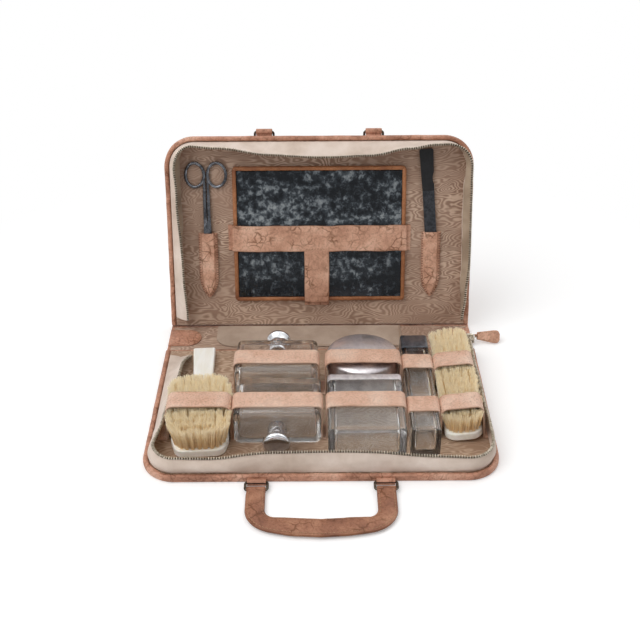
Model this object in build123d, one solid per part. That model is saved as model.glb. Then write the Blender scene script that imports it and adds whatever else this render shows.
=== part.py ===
"""Antique fitted dressing case, open on a table.

A zip-round leather case of two shallow trays joined by a spine. The base tray holds two brushes, two
glass bottles, a glass jar, a round soap box and a toothbrush tube under two long straps. The lid tray
leans back and holds a framed mirror, scissors and a nail file. Each tray has its own handle.

Frame: X to the right, Y away from the viewer, Z up, millimetres. The origin is the centre of the base tray's
underside, where the case rests.
"""

from build123d import *
import math
import os
import random

# ---------------------------------------------------------------- driving dimensions (mm)

# leather, board and silk
COVER_THICKNESS = 1.4
BOARD_THICKNESS = 3.0
LINING_THICKNESS = 1.4
RIM_WIDTH = 5.0
RIM_HEIGHT = 7.0
RIM_ROUNDING = 2.0
CORNER_RADIUS = 32.0

# clearances
SEAT = 0.2
PLAY = 0.3
STRAP_EASE = 0.4
CLOSING_GAP = 2.6

# straps over the fittings in the base
STRAP_THICKNESS = 1.4
STRAP_WIDTH = 24.0
STRAP_FOOT = 9.0
REAR_STRAP_STUB = 0.5
FRONT_STRAP_Y = -38.0
REAR_STRAP_Y = 34.0

# bottles, lying on their backs
BOTTLE_WIDTH = 82.0
BOTTLE_HEIGHT = 51.0
BOTTLE_THICKNESS = 37.0
BOTTLE_WALL = 4.0
BOTTLE_BASE = 7.0
BOTTLE_EDGE = 6.0
BOTTLE_END_EDGE = 3.0
BOTTLE_INNER_EDGE = 5.0
NECK_RADIUS = 6.9
NECK_BORE = 4.6
CAP_LENGTH = 33.2
CAP_SKIRT_RADIUS = 9.0
CAP_HEAD_RADIUS = 12.8
CAP_HEAD_LENGTH = 4.0
CAP_FLARE_LENGTH = 6.5
CAP_BORE_DEPTH = 14.5
CAP_LINER_THICKNESS = 1.6
CAP_EDGE = 1.2
CAP_EDGE_BULGE = 0.35
BOTTLE_GAP = 10.0
REAR_BOTTLE_SHIFT = -3.0

# jar on its side, mouth to the hinge
JAR_WIDTH = 72.0
JAR_THICKNESS = 37.0
JAR_LENGTH = 89.0
JAR_WALL = 4.5
JAR_BASE = 7.0
JAR_LID_LENGTH = 10.0
JAR_EDGE = 4.0
JAR_GAP = 6.1

# toothbrush tube, lid to the hinge
TUBE_WIDTH = 28.0
TUBE_THICKNESS = 31.0
TUBE_LENGTH = 160.0
TUBE_WALL = 2.6
TUBE_BASE = 6.0
TUBE_LID_LENGTH = 23.0
TUBE_EDGE = 3.0
TUBE_FRONT_ROOM = 28.0

# slip lids of the jar and the tube
LID_SHEET = 0.8
NECK_STEP = 1.5
LID_SEAT = 1.0

# round soap box
SOAP_BOX_RADIUS = 36.3
SOAP_BOX_SHEET = 1.0
SOAP_BOWL_HEIGHT = 28.0
SOAP_LID_EDGE = 17.0
SOAP_LID_SHOULDER = 31.0
SOAP_LID_ROUNDING = 3.0
SOAP_BOX_HEIGHT = 37.4
SOAP_BOWL_BEND = 8.0
SOAP_BOX_Y = 51.0

# hair brush, bristles up, handle to the hinge
HAIRBRUSH_WIDTH = 58.0
HAIRBRUSH_LENGTH = 80.0
HAIRBRUSH_BACK = 8.0
HAIRBRUSH_BACK_WIDTH = 54.0
HAIRBRUSH_FRONT_WIDTH = 44.3
HAIRBRUSH_FRONT_TAPER = 18.9
HAIRBRUSH_BRISTLES = 28.5
HAIRBRUSH_Y = -36.0
HAIRBRUSH_YAW = 3.5
HAIRBRUSH_HANDLE = 94.0
HAIRBRUSH_NECK_WIDTH = 18.0
HAIRBRUSH_TIP_WIDTH = 23.0
HAIRBRUSH_NECK_BEND = 6.0
HAIRBRUSH_FRONT_CORNER = 10.0
HAIRBRUSH_SIDE_CORNER = 14.0
HAIRBRUSH_TIP_CORNER = 2.0
HAIRBRUSH_EDGE = 1.5
HAIRBRUSH_ROWS = 11
HAIRBRUSH_TUFTS = 17

# clothes brush, bristles up, leaning a little to the left
CLOTHES_BRUSH_WIDTH = 36.0
CLOTHES_BRUSH_LENGTH = 148.0
CLOTHES_BRUSH_BACK = 8.5
CLOTHES_BRUSH_BRISTLES = 22.5
CLOTHES_BRUSH_ROLL = 6.0
CLOTHES_BRUSH_Y = 18.0
CLOTHES_BRUSH_CORNER = 12.0
CLOTHES_BRUSH_EDGE = 2.0
CLOTHES_BRUSH_ROWS = 6
CLOTHES_BRUSH_TUFTS = 34

# tufts
TUFT_ROOT = 0.9
TUFT_TIP = 0.75
TUFT_PLATE = 1.0
TUFT_MARGIN = 2.5
TUFT_BORDER = 2.8
TUFT_SPREAD = 1.4
TUFT_UNEVEN = 0.8

# room round the fittings
LEFT_ROOM = 21.5
RIGHT_ROOM = 14.7
FRONT_ROOM = 20.8
REAR_ROOM = 8.8

# hinge folds in the leather
FOLD_HEIGHT = 1.2
FOLD_SETBACK = 1.5
SPINE_OVERHANG = 0.9
SPINE_THICKNESS = 1.6
SPINE_LINING_SETBACK = 6.2
SPINE_LINING_THICKNESS = 0.8
LID_ANGLE = 75.0

# canvas walls and zip
WALL_THICKNESS = 1.0
WALL_INSET = 5.9
WALL_HINGE_ROOM = 10.0
BEAD_THICKNESS = 2.0
BEAD_HEIGHT = 1.4
TOOTH_PITCH = 4.4
TOOTH_LENGTH = 2.0
TOOTH_HEIGHT = 2.4
TOOTH_THICKNESS = 2.8
SIDE_STATIONS = 8
CORNER_STATIONS = 7
FAR_STATIONS = 16
# how far each wall slouches inwards at its zip, from the left hinge end round to the right hinge end
BASE_SLOUCH = [(0.0, 17.0), (0.1, 15.0), (0.2, 9.5), (0.26, 4.0), (0.3, 0.6), (0.36, 1.0), (0.43, 6.5),
               (0.5, 8.6), (0.57, 7.5), (0.65, 2.5), (0.7, 0.6), (0.76, 1.5), (0.88, 2.6), (1.0, 2.6)]
LID_SLOUCH = [(0.0, 14.0), (0.08, 11.5), (0.2, 9.5), (0.25, 9.0), (0.3, 1.2), (0.34, 2.0), (0.42, 8.6),
              (0.5, 10.6), (0.58, 9.5), (0.66, 3.0), (0.7, 0.8), (0.75, 0.5), (0.9, 0.8), (0.95, 2.4),
              (1.0, 5.0)]

# zip ends on the spine
TAB_REACH = 35.0
TAB_WIDTH = 31.0
TAB_THICKNESS = 1.4
FLAP_LEFT = -52.0
FLAP_RIGHT_ROOM = 14.0
FLAP_WIDTH = 42.0
FLAP_THICKNESS = 1.0
FLAP_CORNER = 22.0
SLIDER_WIDTH = 9.0
SLIDER_LENGTH = 12.0
SLIDER_HEIGHT = 4.8
SLIDER_BRIDGE = 2.0
SLIDER_NOSE_WIDTH = 5.4
SLIDER_SHOULDER = 2.4
PULL_LENGTH = 25.0
PULL_ROOT_WIDTH = 8.0
PULL_WIDTH = 14.0
PULL_THICKNESS = 1.8
PULL_TILT = 52.0
PULL_DROOP = 4.0
PULL_CORNER = 2.5
PULL_EYE_RADIUS = 1.5
PULL_EYE_WIDTH = 3.2
LINK_WIRE = 0.8
LINK_LENGTH = 6.6
LINK_WIDTH = 5.6
LINK_CORNER = 0.9
BRIDGE_SHEET = 1.0
BRIDGE_ROOM = 1.3

# mirror in the lid
MIRROR_WIDTH = 186.0
MIRROR_HEIGHT = 148.0
MIRROR_THICKNESS = 4.8
MIRROR_BORDER = 4.2
MIRROR_BACK = 1.4
GLASS_THICKNESS = 2.4
MIRROR_CORNER = 2.0
MIRROR_EDGE = 1.0
MIRROR_LOW_EDGE = 30.0
MIRROR_STRAP_WIDTH = 28.5
MIRROR_STRAP_LOW = 56.0
MIRROR_PROP_WIDTH = 27.0
MIRROR_PROP_X = -3.5
MIRROR_STRAP_FOOT = 4.0
SHEATH_SHIFT = 5.0

# scissors
PIVOT_STANDOFF = 3.0
SCISSORS_SHANK = 60.6
BOW_WIDTH = 20.4
BOW_HEIGHT = 25.0
BOW_WIRE = 2.8
BLADE_THICKNESS = 1.5
BLADE_WIDTH = 8.6
BLADE_LENGTH = 60.0
SHANK_WIDTH = 3.9
SHANK_START = 7.0
LOBE_TOP = 7.6
LOBE_LEAN = 1.5
BLADE_HEEL = 8.0
BLADE_EDGE = 2.4
BLADE_POINT = 0.5
PIVOT_HEAD_RADIUS = 2.6
PIVOT_HEAD_HEIGHT = 0.8
PIVOT_RADIUS = 1.2
PIVOT_CLEARANCE = 0.06
SCREW_SLOT = 0.7

# nail file
FILE_TOP = 196.0
FILE_JOIN = 151.0
FILE_TIP = 52.0
FILE_POINT_LENGTH = 30.0
FILE_BLUNT = 1.5
FILE_TOP_WIDTH = 15.0
FILE_WIDTH = 12.5
FILE_THICKNESS = 1.8
FILE_GRIP_THICKNESS = 2.4
FILE_GRIP_NECK = 5.0
FILE_GRIP_CORNER = 2.0
NOTCH_HEIGHT = 13.0
NOTCH_OFFSET = 3.2
NOTCH_HALF_WIDTH = 5.6
NOTCH_HALF_HEIGHT = 9.5
FILE_TILT = 4.2
FILE_TILT_LEVEL = 95.0

# sheaths
SHEATH_WIDTH = 20.5
SHEATH_SEAM = 2.4
SHEATH_SKIN = 1.2
SHEATH_MOUTH = 106.0
SHEATH_TIP = 34.0
SHEATH_SHOULDER = 20.0
SHEATH_POINT = 1.5
SHEATH_EDGE = 1.0

# handles and their rings
HANDLE_SPAN = 133.0
HANDLE_LEG = 16.5
HANDLE_DROP = 60.0
HANDLE_GRIP = 21.5
HANDLE_BOW = 8.0
HANDLE_INNER_BOW = 5.6
HANDLE_THICKNESS = 5.2
HANDLE_CORNER = 28.0
HANDLE_INNER_CORNER = 11.0
HANDLE_EDGE = 1.4
RING_WIRE = 1.2
RING_HALF_WIDTH = 10.0
RING_LENGTH = 10.5
RING_CORNER = 2.4
EYE_RADIUS = 2.9
EYE_WIDTH = 14.0
CHAPE_REACH = 4.0
CHAPE_TONGUE = 13.0

# ---------------------------------------------------------------- sizes that follow from them

FLOOR = COVER_THICKNESS + BOARD_THICKNESS + LINING_THICKNESS
BOARD_TOP = COVER_THICKNESS + BOARD_THICKNESS
ITEM_Z = FLOOR + SEAT
COLUMN_GAP = 2 * (STRAP_THICKNESS + STRAP_EASE) + PLAY
CASE_WIDTH = (LEFT_ROOM + HAIRBRUSH_WIDTH + COLUMN_GAP + BOTTLE_WIDTH + JAR_GAP + JAR_WIDTH + COLUMN_GAP
              + TUBE_WIDTH + COLUMN_GAP + CLOTHES_BRUSH_WIDTH + RIGHT_ROOM)
CASE_DEPTH = FRONT_ROOM + 2 * (BOTTLE_HEIGHT + CAP_LENGTH) + BOTTLE_GAP + REAR_ROOM
LEFT = -CASE_WIDTH / 2
FRONT = -CASE_DEPTH / 2
BACK = CASE_DEPTH / 2
FITTINGS_FRONT = FRONT + FRONT_ROOM

HAIRBRUSH_X = LEFT + LEFT_ROOM + HAIRBRUSH_WIDTH / 2
BOTTLE_X = HAIRBRUSH_X + HAIRBRUSH_WIDTH / 2 + COLUMN_GAP + BOTTLE_WIDTH / 2
JAR_X = BOTTLE_X + BOTTLE_WIDTH / 2 + JAR_GAP + JAR_WIDTH / 2
TUBE_X = JAR_X + JAR_WIDTH / 2 + COLUMN_GAP + TUBE_WIDTH / 2
CLOTHES_BRUSH_LEFT = TUBE_X + TUBE_WIDTH / 2 + COLUMN_GAP

BOTTLE_Z = ITEM_Z + BOTTLE_THICKNESS / 2
STRAP_TOP = ITEM_Z + BOTTLE_THICKNESS + STRAP_EASE + STRAP_THICKNESS
LID_STACK = FLOOR + SEAT + MIRROR_THICKNESS + STRAP_EASE + STRAP_THICKNESS
CASE_HEIGHT = STRAP_TOP + CLOSING_GAP + LID_STACK

BASE_FOLD_Y = BACK + FOLD_SETBACK
SPINE_WIDTH = CASE_HEIGHT - 2 * FOLD_HEIGHT
LID_FOLD_Y = BASE_FOLD_Y + SPINE_WIDTH

WALL_FOOT = FLOOR + PLAY + WALL_THICKNESS / 2
WALL_WIDTH = CASE_HEIGHT / 2 - WALL_FOOT - TOOTH_HEIGHT
WALL_RADIUS = CORNER_RADIUS - WALL_INSET

PIVOT_Z = PLAY + EYE_RADIUS
CHAPE_X = HANDLE_SPAN / 2 - HANDLE_LEG / 2
FRONT_PIVOT = (FRONT - CHAPE_REACH, PIVOT_Z)
CHAPE_LID_HEIGHT = -2.0
SCISSORS_PIVOT = SHEATH_MOUTH + PIVOT_STANDOFF
SHEATH_SPAN = (CASE_WIDTH / 2 - WALL_INSET + MIRROR_WIDTH / 2) / 2


# ---------------------------------------------------------------- helpers


def on_lid(shape):
    """Takes a shape from the lid lying open and flat, with its fold at y = 0, to the lid's place."""
    return Pos(0, LID_FOLD_Y, FOLD_HEIGHT) * Rot(LID_ANGLE, 0, 0) * Pos(0, 0, -FOLD_HEIGHT) * shape


def rod_x(radius, length, y, z, x=0.0):
    """A rod along X."""
    return Pos(x, y, z) * Rot(0, 90, 0) * Cylinder(radius, length)


def plate(outline, z, thickness):
    """A flat outline extruded upwards from height z."""
    return Pos(0, 0, z) * extrude(outline, thickness)


def tray_outline(inset, hinge_inset=0.0):
    """The tray's outline seen from above: square at the hinge, round at the far corners."""
    width = CASE_WIDTH - 2 * inset
    depth = CASE_DEPTH - inset - hinge_inset
    face = Pos(0, (inset - hinge_inset) / 2) * Rectangle(width, depth)
    far = face.vertices().sort_by(Axis.Y)[:2]
    return fillet(far, CORNER_RADIUS - inset)


def lid_outline(inset, hinge_inset=0.0):
    """The same outline for the lid lying flat behind its fold."""
    turned = Rot(0, 0, 180) * tray_outline(inset, hinge_inset)
    return Pos(0, FOLD_SETBACK + CASE_DEPTH / 2) * turned


def smooth(knots, at):
    """A value that eases from one knot to the next."""
    for (start, low), (end, high) in zip(knots, knots[1:]):
        if at <= end:
            share = (at - start) / (end - start)
            return low + (high - low) * share * share * (3 - 2 * share)
    return knots[-1][1]


# ---------------------------------------------------------------- leather shell, board and lining


def tray_cover(outline, inner_outline):
    """Leather skin with its rolled rim on three sides."""
    skin = plate(outline, 0, RIM_HEIGHT) - plate(inner_outline, COVER_THICKNESS, RIM_HEIGHT)
    top = [e for e in skin.edges() if e.center().Z > RIM_HEIGHT - PLAY and e.length > 2 * RIM_WIDTH]
    return fillet(top, RIM_ROUNDING)


def base_cover():
    return tray_cover(tray_outline(0), tray_outline(RIM_WIDTH, -PLAY))


def base_board():
    return plate(tray_outline(RIM_WIDTH + SEAT), COVER_THICKNESS, BOARD_THICKNESS)


def base_lining():
    return plate(tray_outline(RIM_WIDTH + SEAT), BOARD_TOP, LINING_THICKNESS)


def lid_cover():
    return on_lid(tray_cover(lid_outline(0), lid_outline(RIM_WIDTH, -PLAY)))


def lid_board():
    return on_lid(plate(lid_outline(RIM_WIDTH + SEAT), COVER_THICKNESS, BOARD_THICKNESS))


def lid_lining():
    return on_lid(plate(lid_outline(RIM_WIDTH + SEAT), BOARD_TOP, LINING_THICKNESS))


# ---------------------------------------------------------------- canvas walls with the two zip halves


def wall_stations(slouch):
    """Points round a tray, from the left hinge end to the right one.

    Each is (x, distance from the hinge, inward direction, share of the way round, slouch).
    """
    half = CASE_WIDTH / 2 - WALL_INSET
    far = CASE_DEPTH - WALL_INSET
    turn = far - WALL_RADIUS
    route = []
    for i in range(SIDE_STATIONS):
        route.append((-half, WALL_HINGE_ROOM + (turn - WALL_HINGE_ROOM) * i / SIDE_STATIONS, 0.0))
    for i in range(CORNER_STATIONS):
        angle = 90.0 * i / CORNER_STATIONS
        x = -half + WALL_RADIUS - WALL_RADIUS * math.cos(math.radians(angle))
        route.append((x, turn + WALL_RADIUS * math.sin(math.radians(angle)), angle))
    for i in range(FAR_STATIONS + 1):
        route.append(((half - WALL_RADIUS) * (2 * i / FAR_STATIONS - 1), far, 90.0))
    mirrored = [(-x, v, 180.0 - angle) for x, v, angle in reversed(route[: SIDE_STATIONS + CORNER_STATIONS])]
    route += mirrored
    lengths = [0.0]
    for (xa, va, _), (xb, vb, _) in zip(route, route[1:]):
        lengths.append(lengths[-1] + math.hypot(xb - xa, vb - va))
    return [(x, v, math.radians(angle), smooth(slouch, run / lengths[-1]))
            for (x, v, angle), run in zip(route, lengths)]


def wall_frame(tray, station):
    """Foot point, unit vector up the wall and unit vector across it, in the tray's own place."""
    x, v, angle, lean = station
    rise = math.sqrt(WALL_WIDTH**2 - lean**2) / WALL_WIDTH
    fall = lean / WALL_WIDTH
    inward = Vector(math.cos(angle), -math.sin(angle), 0)
    up = inward * fall + Vector(0, 0, rise)
    across = inward * rise - Vector(0, 0, fall)
    if tray == "base":
        flip = Vector(1, -1, 1)
        foot = Vector(x, BACK - v, WALL_FOOT)
        up = Vector(up.X * flip.X, up.Y * flip.Y, up.Z)
        across = Vector(across.X * flip.X, across.Y * flip.Y, across.Z)
    else:
        foot = Vector(x, FOLD_SETBACK + v, WALL_FOOT)
    return foot, up, across


def strip(frames, low, high, thickness):
    """A band that follows the wall between two heights up its slope."""
    sections = []
    for foot, up, across in frames:
        half = across * (thickness / 2)
        foot_line = foot + up * low
        top_line = foot + up * high
        corners = [foot_line - half, foot_line + half, top_line + half, top_line - half]
        sections.append(Wire.make_polygon(corners, close=True))
    return Solid.make_loft(sections, True)


def zip_half(frames):
    """The zip's corded edge with its row of metal teeth, which stop short of the other half's when shut."""
    low = WALL_WIDTH
    bead = strip(frames, low, low + BEAD_HEIGHT, BEAD_THICKNESS)
    tops = [foot + up * (low + BEAD_HEIGHT) for foot, up, across in frames]
    runs = [(b - a).length for a, b in zip(tops, tops[1:])]
    stand = TOOTH_HEIGHT - BEAD_HEIGHT / 2 - PLAY
    teeth = []
    at = TOOTH_PITCH / 2
    for index, run in enumerate(runs):
        foot, up, across = frames[index]
        along = (tops[index + 1] - tops[index]).normalized()
        while at < run - TOOTH_LENGTH / 2:
            place = tops[index] + along * at - up * (BEAD_HEIGHT / 2)
            seat = Plane(origin=place, x_dir=along, z_dir=up - along * up.dot(along))
            tooth = Box(TOOTH_LENGTH, TOOTH_THICKNESS, stand, align=(Align.CENTER, Align.CENTER, Align.MIN))
            teeth.append((seat * tooth).solids()[0])
            at += TOOTH_PITCH
        at = max(at - run, TOOTH_LENGTH / 2)
    return bead.fuse(*teeth)


def wall(tray, slouch):
    frames = [wall_frame(tray, s) for s in wall_stations(slouch)]
    canvas = strip(frames, 0, WALL_WIDTH - SEAT, WALL_THICKNESS)
    zip_row = zip_half(frames)
    if tray == "lid":
        return on_lid(canvas), on_lid(zip_row)
    return canvas, zip_row


# ---------------------------------------------------------------- spine


def spine_cover():
    leather = Box(CASE_WIDTH, SPINE_WIDTH + 2 * SPINE_OVERHANG, SPINE_THICKNESS)
    return Pos(0, BASE_FOLD_Y + SPINE_WIDTH / 2, SPINE_THICKNESS / 2) * leather


def spine_lining():
    width = SPINE_WIDTH - 2 * SPINE_LINING_SETBACK
    z = SPINE_THICKNESS + SPINE_LINING_THICKNESS / 2
    length = CASE_WIDTH - 2 * (TAB_REACH + RIM_WIDTH + PLAY)
    return Pos(0, BASE_FOLD_Y + SPINE_WIDTH / 2, z) * Box(length, width, SPINE_LINING_THICKNESS)


def zip_end_tabs():
    """The two leather tabs, round at their inner end, that hold the ends of the zip."""
    y = BASE_FOLD_Y + SPINE_WIDTH / 2
    edge = CASE_WIDTH / 2 - SEAT
    straight = TAB_REACH - TAB_WIDTH / 2
    outline = Pos(-edge + straight / 2, y) * Rectangle(straight, TAB_WIDTH)
    outline += Pos(-edge + straight, y) * Circle(TAB_WIDTH / 2)
    left = plate(outline, SPINE_THICKNESS, TAB_THICKNESS)
    return Compound(children=[left, mirror(left, Plane.YZ)])


def hinge_flap():
    """Canvas flap over the hinge, sewn along the lid's fold, with its free edge a little raised."""
    right = CASE_WIDTH / 2 - TAB_REACH - RIM_WIDTH - FLAP_RIGHT_ROOM
    far = LID_FOLD_Y - SPINE_LINING_SETBACK
    y = far - FLAP_WIDTH / 2
    face = Pos((FLAP_LEFT + right) / 2, y) * Rectangle(right - FLAP_LEFT, FLAP_WIDTH)
    corner = face.vertices().sort_by(Axis.Y)[:2].sort_by(Axis.X)[0]
    face = fillet(corner, FLAP_CORNER)
    return plate(face, SPINE_THICKNESS + SPINE_LINING_THICKNESS, FLAP_THICKNESS)


# ---------------------------------------------------------------- zip slider and pull


def slider_seat():
    """Where the slider lies: on the right-hand zip end tab."""
    x = CASE_WIDTH / 2 - SLIDER_WIDTH / 2 + 2
    y = BASE_FOLD_Y + SPINE_WIDTH / 2 - TAB_WIDTH / 2 + SLIDER_LENGTH / 2 + 1
    return x, y, SPINE_THICKNESS + TAB_THICKNESS


def zip_slider():
    """Wedge-nosed slider with its bridge, through which the pull's link passes."""
    x, y, z = slider_seat()
    half = SLIDER_WIDTH / 2
    nose = SLIDER_NOSE_WIDTH / 2
    end = SLIDER_LENGTH / 2
    outline = make_face(Polyline((-half, -end), (half, -end), (half, SLIDER_SHOULDER), (nose, end), (-nose, end),
                                 (-half, SLIDER_SHOULDER), (-half, -end)))
    sheet = SLIDER_HEIGHT / 4
    body = extrude(outline, sheet) + plate(outline, SLIDER_HEIGHT - sheet, sheet)
    body += Pos(0, SLIDER_LENGTH / 4, SLIDER_HEIGHT / 2) * Box(sheet, SLIDER_LENGTH / 3, SLIDER_HEIGHT)
    span = SLIDER_WIDTH - 2
    arch = Pos(0, 0, BRIDGE_ROOM / 2) * Box(span, SLIDER_BRIDGE, BRIDGE_ROOM)
    arch += Pos(0, 0, BRIDGE_ROOM + BRIDGE_SHEET / 2) * Box(span, SLIDER_BRIDGE, BRIDGE_SHEET)
    arch -= Pos(0, 0, BRIDGE_ROOM / 2) * Box(span - 2 * BRIDGE_SHEET, 2 * SLIDER_BRIDGE, BRIDGE_ROOM)
    return Pos(x, y, z) * (body + Pos(0, 0, SLIDER_HEIGHT) * arch)


def pull_pivot():
    """The middle of the link's inner bar, under the slider's bridge."""
    x, y, z = slider_seat()
    return x, y, z + SLIDER_HEIGHT + BRIDGE_ROOM / 2


def pull_tab():
    """Leather paddle beside the case, twisted on edge, whose rolled eye holds the wire link."""
    x, y, z = pull_pivot()
    root = PULL_ROOT_WIDTH / 2
    end = PULL_WIDTH / 2
    outline = make_face(Polyline((0, -root), (PULL_LENGTH - end, -end), (PULL_LENGTH, -end / 2),
                                 (PULL_LENGTH, end / 2), (PULL_LENGTH - end, end), (0, root), (0, -root)))
    outline = fillet(outline.vertices().sort_by(Axis.X)[2:], PULL_CORNER)
    blade = extrude(outline, PULL_THICKNESS / 2, both=True)
    bore = LINK_WIRE / 2 + SEAT
    twisted = Pos(bore + PLAY, 0, 0) * Rot(0, PULL_DROOP, 0) * Rot(PULL_TILT, 0, 0) * blade
    eye = Rot(90, 0, 0) * Cylinder(PULL_EYE_RADIUS, PULL_EYE_WIDTH)
    paddle = eye + twisted - Rot(90, 0, 0) * Cylinder(bore, 2 * PULL_WIDTH)
    return Pos(x + LINK_LENGTH, y, z) * paddle


def pull_link():
    """Wire link from the slider's bridge to the paddle."""
    x, y, z = pull_pivot()
    half = LINK_WIDTH / 2
    path = FilletPolyline((0, half), (LINK_LENGTH, half), (LINK_LENGTH, -half), (0, -half),
                          radius=LINK_CORNER, close=True)
    wire = sweep(Plane(origin=path @ 0, z_dir=path % 0) * Circle(LINK_WIRE / 2), path=path)
    return Pos(x, y, z) * wire


# ---------------------------------------------------------------- straps in the base


def loop_section(corners, radius, grow):
    """One strap loop's outline round a fitting, drawn as X and height, open at the floor."""
    grown = offset(make_face(Polyline(*corners, corners[0])), grow, kind=Kind.INTERSECTION)
    top = grown.vertices().sort_by(Axis.Y)[-2:]
    return fillet(top, radius)


def strap(fittings, y, first_foot):
    """A long strap that runs over each fitting and is sewn down to the floor between them."""
    section = None
    spans = []
    for corners, radius in fittings:
        outer = loop_section(corners, radius + STRAP_THICKNESS, STRAP_EASE + STRAP_THICKNESS)
        inner = loop_section(corners, radius, STRAP_EASE)
        ring = outer - inner
        section = ring if section is None else section + ring
        box = outer.bounding_box()
        spans.append((box.min.X, box.max.X))
    ends = [spans[0][0] - first_foot] + [x for span in spans for x in span] + [spans[-1][1] + STRAP_FOOT / 3]
    for start, end in zip(ends[::2], ends[1::2]):
        foot = Rectangle(end - start + SEAT, STRAP_THICKNESS)
        section += Pos((start + end) / 2, FLOOR + STRAP_THICKNESS / 2) * foot
    below = Pos(0, FLOOR - CASE_HEIGHT / 2) * Rectangle(2 * CASE_WIDTH, CASE_HEIGHT)
    band = extrude(Rot(90, 0, 0) * (section - below), STRAP_WIDTH / 2, both=True)
    return Pos(0, y, 0) * band


def block_corners(x, width, height):
    left = x - width / 2
    right = x + width / 2
    low = ITEM_Z - 2 * STRAP_THICKNESS
    return [(left, low), (left, ITEM_Z + height), (right, ITEM_Z + height), (right, low)]


def clothes_brush_corners():
    """The leaning brush's section, with its right-hand lower corner as the widest point."""
    roll = math.radians(CLOTHES_BRUSH_ROLL)
    height = CLOTHES_BRUSH_BACK + CLOTHES_BRUSH_BRISTLES + TUFT_PLATE
    low_left = CLOTHES_BRUSH_LEFT + height * math.sin(roll)
    rise = CLOTHES_BRUSH_WIDTH * math.sin(roll)
    low_right = low_left + CLOTHES_BRUSH_WIDTH * math.cos(roll)
    low = ITEM_Z - 2 * STRAP_THICKNESS
    top_left = ITEM_Z + height * math.cos(roll)
    top_right = CLOTHES_BRUSH_LEFT + CLOTHES_BRUSH_WIDTH * math.cos(roll)
    return [(CLOTHES_BRUSH_LEFT, low), (CLOTHES_BRUSH_LEFT, top_left), (top_right, top_left + rise),
            (low_right, ITEM_Z + rise), (low_right, low)]


def hairbrush_column():
    height = HAIRBRUSH_BACK + TUFT_PLATE + HAIRBRUSH_BRISTLES
    return block_corners(HAIRBRUSH_X, HAIRBRUSH_WIDTH, height)


def front_strap():
    return strap([
        (hairbrush_column(), 6.0),
        (block_corners(BOTTLE_X, BOTTLE_WIDTH, BOTTLE_THICKNESS), 4.0),
        (block_corners(JAR_X, JAR_WIDTH, JAR_THICKNESS), 4.0),
        (block_corners(TUBE_X, TUBE_WIDTH, TUBE_THICKNESS), 2.5),
        (clothes_brush_corners(), 5.0),
    ], FRONT_STRAP_Y, STRAP_FOOT)


def rear_strap():
    """The rear strap's first end goes straight down, clear of the hair brush's way out."""
    return strap([
        (block_corners(BOTTLE_X + REAR_BOTTLE_SHIFT, BOTTLE_WIDTH, BOTTLE_THICKNESS), 4.0),
        (block_corners(JAR_X, 2 * SOAP_BOX_RADIUS, SOAP_BOX_HEIGHT), 5.0),
        (block_corners(TUBE_X, TUBE_WIDTH, TUBE_THICKNESS), 2.5),
        (clothes_brush_corners(), 5.0),
    ], REAR_STRAP_Y, REAR_STRAP_STUB)


# ---------------------------------------------------------------- bottles and their caps


def soft_block(width, length, height, long_edge, end_edge):
    """A block along Y from y = 0 backwards, with its edges rounded."""
    block = Pos(0, -length / 2, 0) * Box(width, length, height)
    block = fillet(block.edges().filter_by(Axis.Y), long_edge)
    ends = [e for e in block.edges() if abs(e.center().Y) < PLAY or abs(e.center().Y + length) < PLAY]
    return fillet(ends, end_edge)


def bottle():
    """Thick-walled squat bottle along Y, with its shoulder at y = 0 and its neck beyond."""
    glass = soft_block(BOTTLE_WIDTH, BOTTLE_HEIGHT, BOTTLE_THICKNESS, BOTTLE_EDGE, BOTTLE_END_EDGE)
    inside_height = BOTTLE_HEIGHT - BOTTLE_BASE - BOTTLE_WALL
    hollow = soft_block(BOTTLE_WIDTH - 2 * BOTTLE_WALL, inside_height, BOTTLE_THICKNESS - 2 * BOTTLE_WALL,
                        BOTTLE_INNER_EDGE, BOTTLE_END_EDGE)
    neck_length = CAP_BORE_DEPTH - CAP_LINER_THICKNESS
    root = neck_length + BOTTLE_WALL / 2
    glass += Pos(0, neck_length - root / 2, 0) * Rot(90, 0, 0) * Cylinder(NECK_RADIUS, root)
    glass -= Pos(0, -BOTTLE_WALL, 0) * hollow
    return glass - Rot(90, 0, 0) * Cylinder(NECK_BORE, 2 * neck_length + BOTTLE_WALL)


def bottle_cap():
    """Turned cap: a straight skirt that flares into a wide flat head."""
    bore = NECK_RADIUS + PLAY
    head = CAP_HEAD_RADIUS
    end = CAP_LENGTH
    flare_end = end - CAP_HEAD_LENGTH
    flare_start = flare_end - CAP_FLARE_LENGTH
    middle = ((CAP_SKIRT_RADIUS * 2 + head) / 3, (flare_start + 2 * flare_end) / 3)
    rim = head - CAP_EDGE
    bulge = CAP_EDGE_BULGE
    profile = Polyline((bore, PLAY), (bore, CAP_BORE_DEPTH), (0, CAP_BORE_DEPTH), (0, end), (rim, end))
    profile += ThreePointArc((rim, end), (head - bulge, end - bulge), (head, end - CAP_EDGE))
    profile += Line((head, end - CAP_EDGE), (head, flare_end))
    profile += ThreePointArc((head, flare_end), middle, (CAP_SKIRT_RADIUS, flare_start))
    profile += Polyline((CAP_SKIRT_RADIUS, flare_start), (CAP_SKIRT_RADIUS, PLAY), (bore, PLAY))
    return revolve(make_face(profile), Axis.Y)


def cap_liner():
    """Cork disc in the head of the cap, pressed on the bottle's mouth."""
    radius = NECK_RADIUS + PLAY - SEAT / 2
    middle = CAP_BORE_DEPTH - CAP_LINER_THICKNESS / 2
    return Pos(0, middle, 0) * Rot(90, 0, 0) * Cylinder(radius, CAP_LINER_THICKNESS - SEAT / 2)


def at_front_bottle(shape):
    return Pos(BOTTLE_X, FITTINGS_FRONT + CAP_LENGTH, BOTTLE_Z) * Rot(0, 0, 180) * shape


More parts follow.
